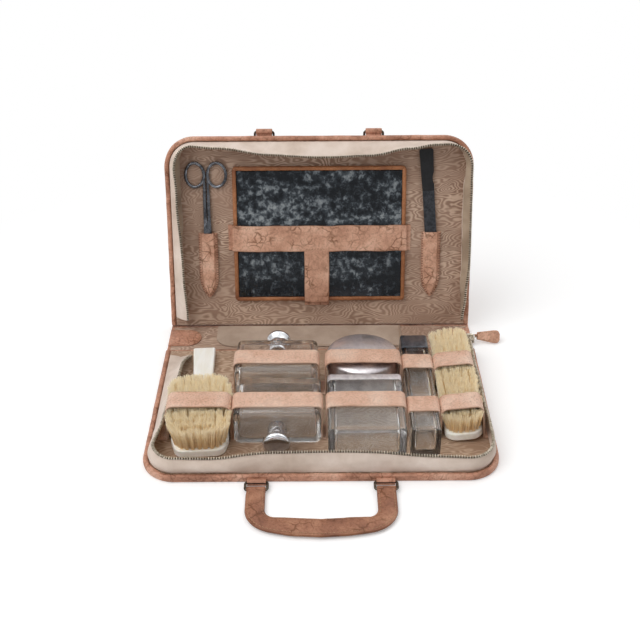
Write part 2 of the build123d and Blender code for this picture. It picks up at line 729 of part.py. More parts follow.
def at_rear_bottle(shape):
    y = FITTINGS_FRONT + CAP_LENGTH + 2 * BOTTLE_HEIGHT + BOTTLE_GAP
    return Pos(BOTTLE_X + REAR_BOTTLE_SHIFT, y, BOTTLE_Z) * shape


# ---------------------------------------------------------------- jar and tube with slip lids


def rectangular_glass(width, thickness, length, wall_thickness, base, lid_length, edge):
    """Open glass box along Y with a stepped neck for its slip lid; its mouth is at y = 0."""
    neck = lid_length - LID_SHEET - LID_SEAT
    body = Pos(0, -lid_length, 0) * soft_block(width, length - lid_length, thickness, edge, edge / 2)
    step = 2 * NECK_STEP
    collar = soft_block(width - step, neck + edge, thickness - step, edge, edge / 3)
    thin = 2 * wall_thickness + step
    inside = soft_block(width - thin, length - base, thickness - thin, edge * 0.7, edge * 0.6)
    return body + Pos(0, -lid_length + neck, 0) * collar - inside


def slip_lid(width, thickness, lid_length, edge):
    """Pressed metal lid that slips over the neck, with a rounded top edge."""
    shell = soft_block(width, lid_length - SEAT, thickness, edge, edge / 2)
    room = 2 * LID_SHEET
    inside = soft_block(width - room, lid_length + edge, thickness - room, edge - LID_SHEET, edge / 3)
    return shell - Pos(0, -LID_SHEET, 0) * inside


def at_jar(shape):
    return Pos(JAR_X, FITTINGS_FRONT + JAR_LENGTH, ITEM_Z + JAR_THICKNESS / 2) * shape


def at_tube(shape):
    return Pos(TUBE_X, FRONT + TUBE_FRONT_ROOM + TUBE_LENGTH, ITEM_Z + TUBE_THICKNESS / 2) * shape


def jar():
    return at_jar(rectangular_glass(JAR_WIDTH, JAR_THICKNESS, JAR_LENGTH, JAR_WALL, JAR_BASE, JAR_LID_LENGTH,
                                    JAR_EDGE))


def jar_lid():
    return at_jar(slip_lid(JAR_WIDTH, JAR_THICKNESS, JAR_LID_LENGTH, JAR_EDGE))


def tube():
    glass = rectangular_glass(TUBE_WIDTH, TUBE_THICKNESS, TUBE_LENGTH, TUBE_WALL, TUBE_BASE, TUBE_LID_LENGTH,
                              TUBE_EDGE)
    return at_tube(glass)


def tube_lid():
    return at_tube(slip_lid(TUBE_WIDTH, TUBE_THICKNESS, TUBE_LID_LENGTH, TUBE_EDGE))


# ---------------------------------------------------------------- round soap box


def at_soap_box(shape):
    return Pos(JAR_X, SOAP_BOX_Y, ITEM_Z) * shape


def soap_bowl():
    """Spun bowl whose upper edge stands inside the lid."""
    radius = SOAP_BOX_RADIUS - SOAP_BOX_SHEET - PLAY
    inner = radius - SOAP_BOX_SHEET
    top = SOAP_BOWL_HEIGHT
    bend = SOAP_BOWL_BEND
    outer = Polyline((0, 0), (radius - bend, 0))
    outer += RadiusArc((radius - bend, 0), (radius, bend), -bend)
    outer += Polyline((radius, bend), (radius, top), (inner, top), (inner, bend))
    outer += RadiusArc((inner, bend), (inner - bend + SOAP_BOX_SHEET, SOAP_BOX_SHEET), bend - SOAP_BOX_SHEET)
    outer += Polyline((inner - bend + SOAP_BOX_SHEET, SOAP_BOX_SHEET), (0, SOAP_BOX_SHEET), (0, 0))
    return at_soap_box(revolve(make_face(Plane.XZ * outer), Axis.Z))


def dome(radius, low, high):
    """Solid of revolution under a shallow spherical cap, standing on the bowl's floor level."""
    rise = high - low
    sphere = (radius * radius + rise * rise) / (2 * rise)
    half_angle = math.asin(radius / sphere) / 2
    middle = (sphere * math.sin(half_angle), high - sphere + sphere * math.cos(half_angle))
    profile = Polyline((0, high), (0, SOAP_LID_EDGE), (radius, SOAP_LID_EDGE), (radius, low))
    profile += ThreePointArc((radius, low), middle, (0, high))
    return revolve(make_face(Plane.XZ * profile), Axis.Z)


def soap_lid():
    """Domed lid with a straight skirt and softened shoulder."""
    top = SOAP_BOX_HEIGHT - SEAT
    sheet = SOAP_BOX_SHEET
    outer = dome(SOAP_BOX_RADIUS, SOAP_LID_SHOULDER, top)
    shoulder = [e for e in outer.edges() if abs(e.center().Z - SOAP_LID_SHOULDER) < PLAY]
    outer = fillet(shoulder, SOAP_LID_ROUNDING)
    return at_soap_box(outer - dome(SOAP_BOX_RADIUS - sheet, SOAP_LID_SHOULDER - sheet, top - sheet))


# ---------------------------------------------------------------- brushes


def tuft(root, tip):
    """One tapering three-sided tuft of bristle."""
    wires = []
    for centre, radius in ((root, TUFT_ROOT), (tip, TUFT_TIP)):
        corners = [centre + Vector(radius * math.cos(a), radius * math.sin(a), 0)
                   for a in (math.radians(90), math.radians(210), math.radians(330))]
        wires.append(Wire.make_polygon(corners, close=True))
    return Solid.make_loft(wires, True)


def bristle_field(width, length, rows, tufts, height, corner, seed):
    """Tufts in rows on a slice of the backing; the outer ones lean out, and their tips are uneven."""
    chance = random.Random(seed)
    slab = extrude(fillet(Rectangle(width, length).vertices(), corner), TUFT_PLATE)
    root_x = width / 2 - TUFT_MARGIN
    root_y = length / 2 - TUFT_MARGIN
    solids = []
    for row in range(rows):
        for place in range(tufts):
            across = 2 * row / (rows - 1) - 1
            along = 2 * place / (tufts - 1) - 1
            past_x = max(abs(across) * root_x - root_x + corner, 0)
            past_y = max(abs(along) * root_y - root_y + corner, 0)
            if math.hypot(past_x, past_y) > corner:
                continue
            root = Vector(across * root_x, along * root_y, TUFT_PLATE / 2)
            tip = Vector(across * (root_x + TUFT_SPREAD), along * (root_y + TUFT_SPREAD),
                         TUFT_PLATE + height - TUFT_UNEVEN * chance.random())
            solids.append(tuft(root, tip))
    return slab.solids()[0].fuse(*solids), len(solids)


def at_hairbrush(shape):
    return Pos(HAIRBRUSH_X, HAIRBRUSH_Y, ITEM_Z) * Rot(0, 0, HAIRBRUSH_YAW) * shape


def hairbrush_back():
    """Flat back: a soft-cornered head that draws in to a neck and a handle that widens to its square tip."""
    half = HAIRBRUSH_BACK_WIDTH / 2
    front = -HAIRBRUSH_LENGTH / 2
    rear = HAIRBRUSH_LENGTH / 2
    neck = HAIRBRUSH_NECK_WIDTH / 2
    tip = HAIRBRUSH_TIP_WIDTH / 2
    end = rear + HAIRBRUSH_HANDLE
    bend = rear + HAIRBRUSH_NECK_BEND
    right = [(HAIRBRUSH_FRONT_WIDTH / 2, front), (half, front + HAIRBRUSH_FRONT_TAPER), (half, rear - half),
             (neck, bend), (tip, end)]
    points = right + [(-x, y) for x, y in reversed(right)]
    face = make_face(Polyline(*points, points[0]))
    corners = face.vertices().sort_by(Axis.Y)
    face = fillet(corners[:2], HAIRBRUSH_FRONT_CORNER)
    face = fillet([v for v in face.vertices() if abs(abs(v.X) - half) < PLAY], HAIRBRUSH_SIDE_CORNER)
    face = fillet([v for v in face.vertices() if abs(v.Y - bend) < PLAY], HAIRBRUSH_FRONT_CORNER)
    face = fillet([v for v in face.vertices() if abs(v.Y - end) < PLAY], HAIRBRUSH_TIP_CORNER)
    body = extrude(face, HAIRBRUSH_BACK)
    rims = [e for e in body.edges() if abs(e.center().Z) < SEAT or abs(e.center().Z - HAIRBRUSH_BACK) < SEAT]
    return at_hairbrush(fillet(rims, HAIRBRUSH_EDGE))


def hairbrush_bristles():
    border = 2 * TUFT_BORDER
    field, count = bristle_field(HAIRBRUSH_BACK_WIDTH - border, HAIRBRUSH_LENGTH - border, HAIRBRUSH_ROWS,
                                 HAIRBRUSH_TUFTS, HAIRBRUSH_BRISTLES, HAIRBRUSH_SIDE_CORNER, 3)
    print("hair brush tufts:", count)
    return at_hairbrush(Pos(0, 0, HAIRBRUSH_BACK) * field)


def at_clothes_brush(shape):
    corner = clothes_brush_corners()
    low_left = corner[3][0] - CLOTHES_BRUSH_WIDTH * math.cos(math.radians(CLOTHES_BRUSH_ROLL))
    middle = Pos(CLOTHES_BRUSH_WIDTH / 2, 0, 0) * shape
    return Pos(low_left, CLOTHES_BRUSH_Y, ITEM_Z) * Rot(0, -CLOTHES_BRUSH_ROLL, 0) * middle


def clothes_brush_back():
    """Long back with round corners and softened edges."""
    face = fillet(Rectangle(CLOTHES_BRUSH_WIDTH, CLOTHES_BRUSH_LENGTH).vertices(), CLOTHES_BRUSH_CORNER)
    body = extrude(face, CLOTHES_BRUSH_BACK)
    top = CLOTHES_BRUSH_BACK
    rims = [e for e in body.edges() if abs(e.center().Z) < SEAT or abs(e.center().Z - top) < SEAT]
    return at_clothes_brush(fillet(rims, CLOTHES_BRUSH_EDGE))


def clothes_brush_bristles():
    border = 2 * TUFT_BORDER
    field, count = bristle_field(CLOTHES_BRUSH_WIDTH - border, CLOTHES_BRUSH_LENGTH - border,
                                 CLOTHES_BRUSH_ROWS, CLOTHES_BRUSH_TUFTS, CLOTHES_BRUSH_BRISTLES,
                                 CLOTHES_BRUSH_CORNER - TUFT_BORDER, 5)
    print("clothes brush tufts:", count)
    return at_clothes_brush(Pos(0, 0, CLOTHES_BRUSH_BACK) * field)


# ---------------------------------------------------------------- mirror and its strap


def mirror_place(shape):
    return on_lid(Pos(0, MIRROR_LOW_EDGE + MIRROR_HEIGHT / 2, FLOOR + SEAT) * shape)


def mirror_frame():
    """Leather-covered tray of the mirror: a back and a narrow raised border."""
    body = Box(MIRROR_WIDTH, MIRROR_HEIGHT, MIRROR_THICKNESS, align=(Align.CENTER, Align.CENTER, Align.MIN))
    body = fillet(body.edges().filter_by(Axis.Z), MIRROR_CORNER)
    border = 2 * MIRROR_BORDER
    recess = Box(MIRROR_WIDTH - border, MIRROR_HEIGHT - border, MIRROR_THICKNESS,
                 align=(Align.CENTER, Align.CENTER, Align.MIN))
    body -= Pos(0, 0, MIRROR_BACK) * recess
    front = [e for e in body.edges() if abs(e.center().Z - MIRROR_THICKNESS) < SEAT]
    return mirror_place(fillet(front, MIRROR_EDGE))


def mirror_glass():
    """Plate glass with a narrow bevel, in its frame."""
    margin = 2 * (MIRROR_BORDER + SEAT)
    pane = Box(MIRROR_WIDTH - margin, MIRROR_HEIGHT - margin, GLASS_THICKNESS,
               align=(Align.CENTER, Align.CENTER, Align.MIN))
    front = [e for e in pane.edges() if abs(e.center().Z - GLASS_THICKNESS) < SEAT]
    return mirror_place(Pos(0, 0, MIRROR_BACK) * chamfer(front, GLASS_THICKNESS / 4))


def mirror_strap():
    """T-shaped strap: one band across the mirror and one down under its lower edge."""
    under = FLOOR + SEAT + MIRROR_THICKNESS + STRAP_EASE
    half = MIRROR_WIDTH / 2 + STRAP_EASE
    outer = half + STRAP_THICKNESS
    top = under + STRAP_THICKNESS
    foot_top = FLOOR + STRAP_THICKNESS
    right = [(half, under), (half, FLOOR), (outer + MIRROR_STRAP_FOOT, FLOOR),
             (outer + MIRROR_STRAP_FOOT, foot_top), (outer, foot_top), (outer, top)]
    points = right + [(-x, z) for x, z in reversed(right)]
    section = Rot(90, 0, 0) * make_face(Polyline(*points, points[0]))
    across = extrude(section, MIRROR_STRAP_WIDTH / 2, both=True)
    low = MIRROR_LOW_EDGE + MIRROR_STRAP_LOW
    band = Pos(0, low + MIRROR_STRAP_WIDTH / 2, 0) * across
    edge = MIRROR_LOW_EDGE - STRAP_EASE
    foot = edge - STRAP_THICKNESS
    side = [(low, under), (edge, under), (edge, FLOOR), (foot - MIRROR_STRAP_FOOT, FLOOR),
            (foot - MIRROR_STRAP_FOOT, foot_top), (foot, foot_top), (foot, top), (low, top), (low, under)]
    prop = extrude(Plane.YZ * make_face(Polyline(*side)), MIRROR_PROP_WIDTH / 2, both=True)
    return on_lid(band + Pos(MIRROR_PROP_X, 0, 0) * prop)


# ---------------------------------------------------------------- scissors, nail file and their sheaths


def scissors_place(shape):
    return on_lid(Pos(-SHEATH_SPAN + SHEATH_SHIFT, SCISSORS_PIVOT, FLOOR + SHEATH_SKIN + PLAY) * shape)


def scissors_half(layer):
    """One half, closed: an oval bow, a slim shank, a lobe at the pivot and a tapering blade.

    The pivot is the origin. layer 0 lies against the lid with its bow on the left, layer 1 lies over it.
    """
    side = -1 if layer == 0 else 1
    both = 2 * BLADE_THICKNESS + SEAT / 2
    centre = SCISSORS_SHANK
    bow_x = side * (BOW_WIDTH / 2 + SEAT)
    ring = Ellipse(BOW_WIDTH / 2, BOW_HEIGHT / 2)
    ring -= Ellipse(BOW_WIDTH / 2 - BOW_WIRE, BOW_HEIGHT / 2 - BOW_WIRE)
    bow = extrude(Pos(bow_x, centre) * ring, both)
    inner = side * SEAT
    outer = side * SHANK_WIDTH
    shank = make_face(Polyline((inner, SHANK_START), (outer, SHANK_START), (outer, centre - BOW_HEIGHT / 3),
                               (inner + side * BOW_WIRE / 2, centre), (inner, centre), (inner, SHANK_START)))
    half = side * BLADE_WIDTH / 2
    lobe = Circle(BLADE_WIDTH / 2)
    lobe += make_face(Polyline((outer, LOBE_TOP), (inner, LOBE_TOP), (-side * LOBE_LEAN, 0), (half, 0),
                               (outer, LOBE_TOP)))
    point = side * BLADE_POINT
    blade = make_face(Polyline((-half, 0), (-half, -BLADE_HEEL), (-point, -BLADE_LENGTH), (point, -BLADE_LENGTH),
                               (side * BLADE_EDGE, -BLADE_HEEL), (half, 0), (-half, 0)))
    z = layer * (BLADE_THICKNESS + SEAT / 2)
    body = bow + extrude(shank, both) + plate(lobe + blade, z, BLADE_THICKNESS)
    hole = PIVOT_RADIUS + PIVOT_CLEARANCE
    return scissors_place(body - Cylinder(hole, 4 * both))


def scissors_screw():
    """Slotted pivot screw through both halves."""
    both = 2 * BLADE_THICKNESS + SEAT / 2
    shaft = Pos(0, 0, both / 2) * Cylinder(PIVOT_RADIUS, both)
    under_head = both + SEAT / 2
    head = Pos(0, 0, under_head + PIVOT_HEAD_HEIGHT / 2) * Cylinder(PIVOT_HEAD_RADIUS, PIVOT_HEAD_HEIGHT)
    neck = Pos(0, 0, both + SEAT / 4) * Cylinder(PIVOT_RADIUS, SEAT)
    slot = Box(2 * PIVOT_HEAD_RADIUS, SCREW_SLOT, PIVOT_HEAD_HEIGHT)
    return scissors_place(shaft + head + neck - Pos(0, 0, under_head + PIVOT_HEAD_HEIGHT) * slot)


def file_place(shape):
    """The file leans a little to the left; its origin is its own centre line at the lid's fold."""
    x = SHEATH_SPAN - SHEATH_SHIFT
    lean = Pos(x, FILE_TILT_LEVEL, FLOOR + SHEATH_SKIN + PLAY) * Rot(0, 0, FILE_TILT)
    return on_lid(lean * Pos(0, -FILE_TILT_LEVEL, 0) * shape)


def nail_file_blade():
    """Flat steel file that narrows to a blunt point."""
    half = FILE_WIDTH / 2
    shoulder = FILE_TIP + FILE_POINT_LENGTH
    outline = make_face(Polyline((-half, FILE_JOIN), (-half, shoulder), (-FILE_BLUNT, FILE_TIP),
                                 (FILE_BLUNT, FILE_TIP), (half, shoulder), (half, FILE_JOIN),
                                 (-half, FILE_JOIN)))
    return file_place(extrude(outline, FILE_THICKNESS))


def nail_file_grip():
    """Dark grip with the hooked notch of a cuticle tool on its right side."""
    low = FILE_WIDTH / 2
    top = FILE_TOP_WIDTH / 2
    bottom = FILE_JOIN + SEAT
    outline = make_face(Polyline((-low, bottom), (low, bottom), (low, bottom + FILE_GRIP_NECK),
                                 (top, FILE_TOP), (-top, FILE_TOP), (-low, bottom)))
    outline -= Pos(top + NOTCH_OFFSET, bottom + NOTCH_HEIGHT) * Ellipse(NOTCH_HALF_WIDTH, NOTCH_HALF_HEIGHT)
    outline = fillet(outline.vertices().sort_by(Axis.Y)[-2:], FILE_GRIP_CORNER)
    return file_place(extrude(outline, FILE_GRIP_THICKNESS))


def sheath(x, inside):
    """Sewn leather pocket with a pointed lower end; inside is the height of its hollow."""
    half = SHEATH_WIDTH / 2
    shoulder = SHEATH_TIP + SHEATH_SHOULDER

    def outline(inset, mouth):
        side = half - inset
        tip = SHEATH_TIP + 2 * inset
        return make_face(Polyline((-side, mouth), (-side, shoulder), (-SHEATH_POINT, tip), (SHEATH_POINT, tip),
                                  (side, shoulder), (side, mouth), (-side, mouth)))

    height = 2 * SHEATH_SKIN + inside
    body = plate(outline(0, SHEATH_MOUTH), FLOOR, height)
    top = FLOOR + height
    upper = [e for e in body.edges() if abs(e.center().Z - top) < SEAT]
    upper = [e for e in upper if SHEATH_MOUTH - e.center().Y > SHEATH_EDGE]
    body = fillet(upper, SHEATH_EDGE)
    body -= plate(outline(SHEATH_SEAM, SHEATH_MOUTH + SHEATH_SEAM), FLOOR + SHEATH_SKIN, inside)
    return on_lid(Pos(x, 0, 0) * body)


def scissors_sheath():
    return sheath(-SHEATH_SPAN + SHEATH_SHIFT, 2 * BLADE_THICKNESS + 2 * PLAY + SEAT)


def file_sheath():
    return sheath(SHEATH_SPAN - SHEATH_SHIFT, FILE_THICKNESS + 2 * PLAY)


# ---------------------------------------------------------------- handles, rings and chapes


def ring_pair():
    """Two rectangular wire rings that lie forward (-Y) of the pivot at the origin."""
    half = RING_HALF_WIDTH
    path = FilletPolyline((-half, 0), (half, 0), (half, -RING_LENGTH), (-half, -RING_LENGTH),
                          radius=RING_CORNER, close=True)
    wire = sweep(Plane(origin=path @ 0, z_dir=path % 0) * Circle(RING_WIRE), path=path)
    return Compound(children=[Pos(-CHAPE_X, 0, 0) * wire, Pos(CHAPE_X, 0, 0) * wire])


def handle():
    """Flat stitched leather handle, bowed at its grip, with an eye for the ring at each leg's end."""
    half = HANDLE_SPAN / 2
    start = -RING_LENGTH
    low = start - HANDLE_DROP
    shoulder = low + HANDLE_BOW
    leg_top = start - EYE_RADIUS
    outline = make_face(Polyline((-half, shoulder), (-half, leg_top), (half, leg_top), (half, shoulder))
                        + ThreePointArc((half, shoulder), (0, low), (-half, shoulder)))
    outline = fillet(outline.vertices().sort_by(Axis.Y)[:2], HANDLE_CORNER)
    inner = half - HANDLE_LEG
    crown = low + HANDLE_GRIP
    rise = crown + HANDLE_INNER_BOW
    gap = make_face(Polyline((-inner, rise), (-inner, 0), (inner, 0), (inner, rise))
                    + ThreePointArc((inner, rise), (0, crown), (-inner, rise)))
    gap = fillet(gap.vertices().sort_by(Axis.Y)[:2], HANDLE_INNER_CORNER)
    body = extrude(outline - gap, HANDLE_THICKNESS / 2, both=True)
    rims = [e for e in body.edges() if abs(abs(e.center().Z) - HANDLE_THICKNESS / 2) < SEAT]
    body = fillet([e for e in rims if e.length > HANDLE_LEG + 1], HANDLE_EDGE)
    for x in (-CHAPE_X, CHAPE_X):
        tongue = Box(EYE_WIDTH, EYE_RADIUS + 2 * SEAT, HANDLE_THICKNESS - 1)
        body += rod_x(EYE_RADIUS, EYE_WIDTH, start, 0, x) + Pos(x, start - EYE_RADIUS / 2 - SEAT, 0) * tongue
        body -= rod_x(RING_WIRE + PLAY, HANDLE_LEG, start, 0, x)
    return body


def at_front_handle(shape):
    return Pos(0, *FRONT_PIVOT) * shape


def rear_pivot():
    """Place of the lid ring's pivot, with the lid open."""
    reach = FOLD_SETBACK + CASE_DEPTH + CHAPE_REACH
    spot = on_lid(Pos(0, reach, CHAPE_LID_HEIGHT) * Sphere(1)).center()
    return spot.Y, spot.Z


def at_rear_handle(shape):
    """The lid's handle hangs straight down behind it."""
    return Pos(0, *rear_pivot()) * Rot(90, 0, 0) * shape


def chape_roll(y, z):
    """Rolled leather loop round a ring's bar."""
    roll = rod_x(EYE_RADIUS, EYE_WIDTH, y, z)
    return roll, rod_x(RING_WIRE + PLAY, 2 * EYE_WIDTH, y, z)


def front_chapes():
    """Leather loops at the base's front edge that carry the rings."""
    y, z = FRONT_PIVOT
    roll, bore = chape_roll(y, z)
    neck = Pos(0, (y + FRONT) / 2, z) * Box(EYE_WIDTH, FRONT - y, HANDLE_THICKNESS / 2)
    loop = roll + neck - bore
    loop &= Pos(0, FRONT - CASE_DEPTH / 2, 0) * Box(CASE_WIDTH, CASE_DEPTH, CASE_HEIGHT)
    return Compound(children=[Pos(-CHAPE_X, 0, 0) * loop, Pos(CHAPE_X, 0, 0) * loop])


def rear_chapes():
    """The same loops on the lid, sewn to its outer face."""
    edge = FOLD_SETBACK + CASE_DEPTH
    y = edge + CHAPE_REACH
    z = CHAPE_LID_HEIGHT
    roll, bore = chape_roll(y, z)
    tongue_start = edge - CHAPE_TONGUE
    tongue = Box(EYE_WIDTH, y - tongue_start, COVER_THICKNESS)
    loop = roll + Pos(0, (tongue_start + y) / 2, -COVER_THICKNESS / 2) * tongue - bore
    return Compound(children=[on_lid(Pos(-CHAPE_X, 0, 0) * loop), on_lid(Pos(CHAPE_X, 0, 0) * loop)])


# ---------------------------------------------------------------- the whole case


def build():
    base_gusset, base_zip = wall("base", BASE_SLOUCH)
    lid_gusset, lid_zip = wall("lid", LID_SLOUCH)
    return {
        "base_cover": base_cover(),
        "base_board": base_board(),
        "base_lining": base_lining(),
        "base_gusset": base_gusset,
        "base_zip_teeth": base_zip,
        "front_strap": front_strap(),
        "rear_strap": rear_strap(),
        "front_chapes": front_chapes(),
        "front_rings": at_front_handle(ring_pair()),
        "front_handle": at_front_handle(handle()),
        "spine_cover": spine_cover(),
        "spine_lining": spine_lining(),
        "zip_end_tabs": zip_end_tabs(),
        "hinge_flap": hinge_flap(),
        "zip_slider": zip_slider(),
        "zip_pull_link": pull_link(),
        "zip_pull_tab": pull_tab(),
        "lid_cover": lid_cover(),
        "lid_board": lid_board(),
        "lid_lining": lid_lining(),
        "lid_gusset": lid_gusset,
        "lid_zip_teeth": lid_zip,
        "rear_chapes": rear_chapes(),
        "rear_rings": at_rear_handle(ring_pair()),
        "rear_handle": at_rear_handle(handle()),
        "mirror_frame": mirror_frame(),
        "mirror_glass": mirror_glass(),
        "mirror_strap": mirror_strap(),
        "scissors_left_half": scissors_half(0),
        "scissors_right_half": scissors_half(1),
        "scissors_screw": scissors_screw(),
        "scissors_sheath": scissors_sheath(),
        "nail_file_blade": nail_file_blade(),
        "nail_file_grip": nail_file_grip(),
        "nail_file_sheath": file_sheath(),
        "front_bottle": at_front_bottle(bottle()),
        "front_bottle_cap": at_front_bottle(bottle_cap()),
        "front_cap_liner": at_front_bottle(cap_liner()),
        "rear_bottle": at_rear_bottle(bottle()),
        "rear_bottle_cap": at_rear_bottle(bottle_cap()),
        "rear_cap_liner": at_rear_bottle(cap_liner()),
        "jar": jar(),
        "jar_lid": jar_lid(),
        "toothbrush_tube": tube(),
        "toothbrush_tube_lid": tube_lid(),
        "soap_box_bowl": soap_bowl(),
        "soap_box_lid": soap_lid(),
        "hairbrush_back": hairbrush_back(),
        "hairbrush_bristles": hairbrush_bristles(),
        "clothes_brush_back": clothes_brush_back(),
        "clothes_brush_bristles": clothes_brush_bristles(),
    }


def main():
    os.makedirs("parts", exist_ok=True)
    for node, shape in build().items():
        export_step(shape, f"parts/{node}.step")


main()
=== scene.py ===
import math
import random

import bmesh
import bpy
from mathutils import Matrix, Vector, noise


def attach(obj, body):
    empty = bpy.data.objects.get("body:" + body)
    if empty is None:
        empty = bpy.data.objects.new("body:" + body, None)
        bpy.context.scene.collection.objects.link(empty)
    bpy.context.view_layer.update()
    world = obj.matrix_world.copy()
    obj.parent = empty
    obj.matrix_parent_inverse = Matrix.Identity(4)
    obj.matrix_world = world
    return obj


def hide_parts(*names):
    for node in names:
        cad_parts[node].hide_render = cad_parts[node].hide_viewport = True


# An open zip-round dressing case with its fittings. X runs to the right, Y away from the viewer and Z up.
# Shapes are written in millimetres, and piece() turns them into metres.

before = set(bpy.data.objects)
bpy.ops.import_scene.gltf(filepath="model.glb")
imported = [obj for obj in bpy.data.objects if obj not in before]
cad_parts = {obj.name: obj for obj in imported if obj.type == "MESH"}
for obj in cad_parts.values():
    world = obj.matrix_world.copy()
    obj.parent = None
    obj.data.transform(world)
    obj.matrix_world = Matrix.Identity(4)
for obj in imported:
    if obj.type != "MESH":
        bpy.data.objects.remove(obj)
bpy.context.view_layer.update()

MM = 0.001

# ---------------------------------------------------------------- sizes of the case (mm)

CASE_HALF = 165.0
CASE_DEPTH = 208.0
CORNER = 32.0
BACK = CASE_DEPTH / 2
RIM_WIDTH = 5.0
RIM_HEIGHT = 7.0
COVER = 1.4
FLOOR = 5.8
ITEM_Z = 6.0
BOARD_TOP = 4.4

FOLD_HEIGHT = 1.2
FOLD_SETBACK = 1.5
BASE_FOLD_Y = BACK + FOLD_SETBACK
SPINE_WIDTH = 57.6
LID_FOLD_Y = BASE_FOLD_Y + SPINE_WIDTH
LID_ANGLE = 75.0
SPINE_MIDDLE = BASE_FOLD_Y + SPINE_WIDTH / 2

WALL_INSET = 5.9
WALL_FOOT = 6.6
WALL_WIDTH = 21.0
WALL_HINGE_ROOM = 10.0
TOOTH_PITCH = 2.4

STRAP = 1.4
STRAP_WIDTH = 24.0
FRONT_STRAP_Y = -38.0
REAR_STRAP_Y = 34.0

# how far each canvas wall slouches inwards at its zip, from the left hinge end round to the right one
BASE_SLOUCH = [(0.0, 21.0), (0.06, 16.5), (0.2, 10.5), (0.26, 5.5), (0.3, 1.6), (0.36, 0.6), (0.43, 4.5), (0.5, 6.5),
               (0.57, 5.0), (0.65, 0.6), (0.7, -0.6), (0.76, 0.8), (0.88, 2.6), (1.0, 2.6)]
LID_SLOUCH = [(0.0, 14.0), (0.08, 11.5), (0.2, 7.8), (0.25, 6.8), (0.3, 1.2), (0.34, 3.0), (0.42, 10.5), (0.5, 13.6),
              (0.58, 11.6), (0.64, 5.0), (0.68, 0.6), (0.74, -1.6), (0.9, -1.6), (0.96, 1.6), (1.0, 4.5)]
# how far the zip has sunk there, as the cloth sags under it
BASE_SAG = [(0.0, 0.0), (0.2, 2.0), (0.27, 6.0), (0.34, 6.0), (0.44, 2.2), (0.55, 2.2), (0.66, 5.0), (0.72, 6.0),
            (0.8, 3.0), (0.95, 0.0), (1.0, 0.0)]
LID_SAG = [(0.0, 0.0), (1.0, 0.0)]
# how far the cloth bellies inwards between its seam and the zip; outwards where it is less than nothing
BASE_BELLY = [(0.0, 2.0), (0.15, 1.0), (0.24, -2.4), (0.36, -2.8), (0.46, -0.8), (0.58, -0.8), (0.68, -2.8),
              (0.78, -1.5), (1.0, 0.0)]
LID_BELLY = [(0.0, 0.0), (0.04, 1.0), (0.1, 4.5), (0.18, 8.5), (0.25, 8.0), (0.31, 1.0), (0.5, -0.6), (0.69, 0.6),
             (0.75, 5.0), (0.8, 7.0), (0.94, 7.0), (1.0, 2.0)]


def turned(angle, axis):
    return Matrix.Rotation(math.radians(angle), 4, axis)


def moved(x, y, z):
    return Matrix.Translation((x, y, z))


# the base tray counts its depth from the hinge forwards, the lid tray from the hinge upwards
IN_BASE = Matrix(((1, 0, 0, 0), (0, -1, 0, BACK), (0, 0, 1, 0), (0, 0, 0, 1)))
ON_LID = moved(0, LID_FOLD_Y, FOLD_HEIGHT) @ turned(LID_ANGLE, "X") @ moved(0, 0, -FOLD_HEIGHT)
IN_LID = ON_LID @ moved(0, FOLD_SETBACK, 0)

# ---------------------------------------------------------------- material nodes


def colour(code):
    """An sRGB hex colour as linear red, green, blue and alpha."""
    channels = [int(code[i:i + 2], 16) / 255 for i in (1, 3, 5)]
    linear = [c / 12.92 if c <= 0.04045 else ((c + 0.055) / 1.055) ** 2.4 for c in channels]
    return (*linear, 1.0)


def add(tree, kind, inputs=None, stops=(), **settings):
    """Adds a shader node with its settings, its colour stops, and its inputs as values or links."""
    node = tree.nodes.new("ShaderNode" + kind)
    for name, value in settings.items():
        setattr(node, name, value)
    for index, (place, code) in enumerate(stops):
        ramp = node.color_ramp.elements
        stop = ramp[index] if index < 2 else ramp.new(place)
        stop.position = place
        stop.color = colour(code)
    for key, value in (inputs or {}).items():
        if isinstance(value, bpy.types.NodeSocket):
            tree.links.new(value, node.inputs[key])
        else:
            node.inputs[key].default_value = value
    return node


def new_finish(name):
    """An empty node material and its tree."""
    made = bpy.data.materials.new(name)
    made.use_nodes = True
    made.node_tree.nodes.clear()
    return made, made.node_tree


def per_metre(millimetres):
    """The texture scale at which one feature is this many millimetres wide."""
    return 1 / (millimetres * MM)


# ---------------------------------------------------------------- leather


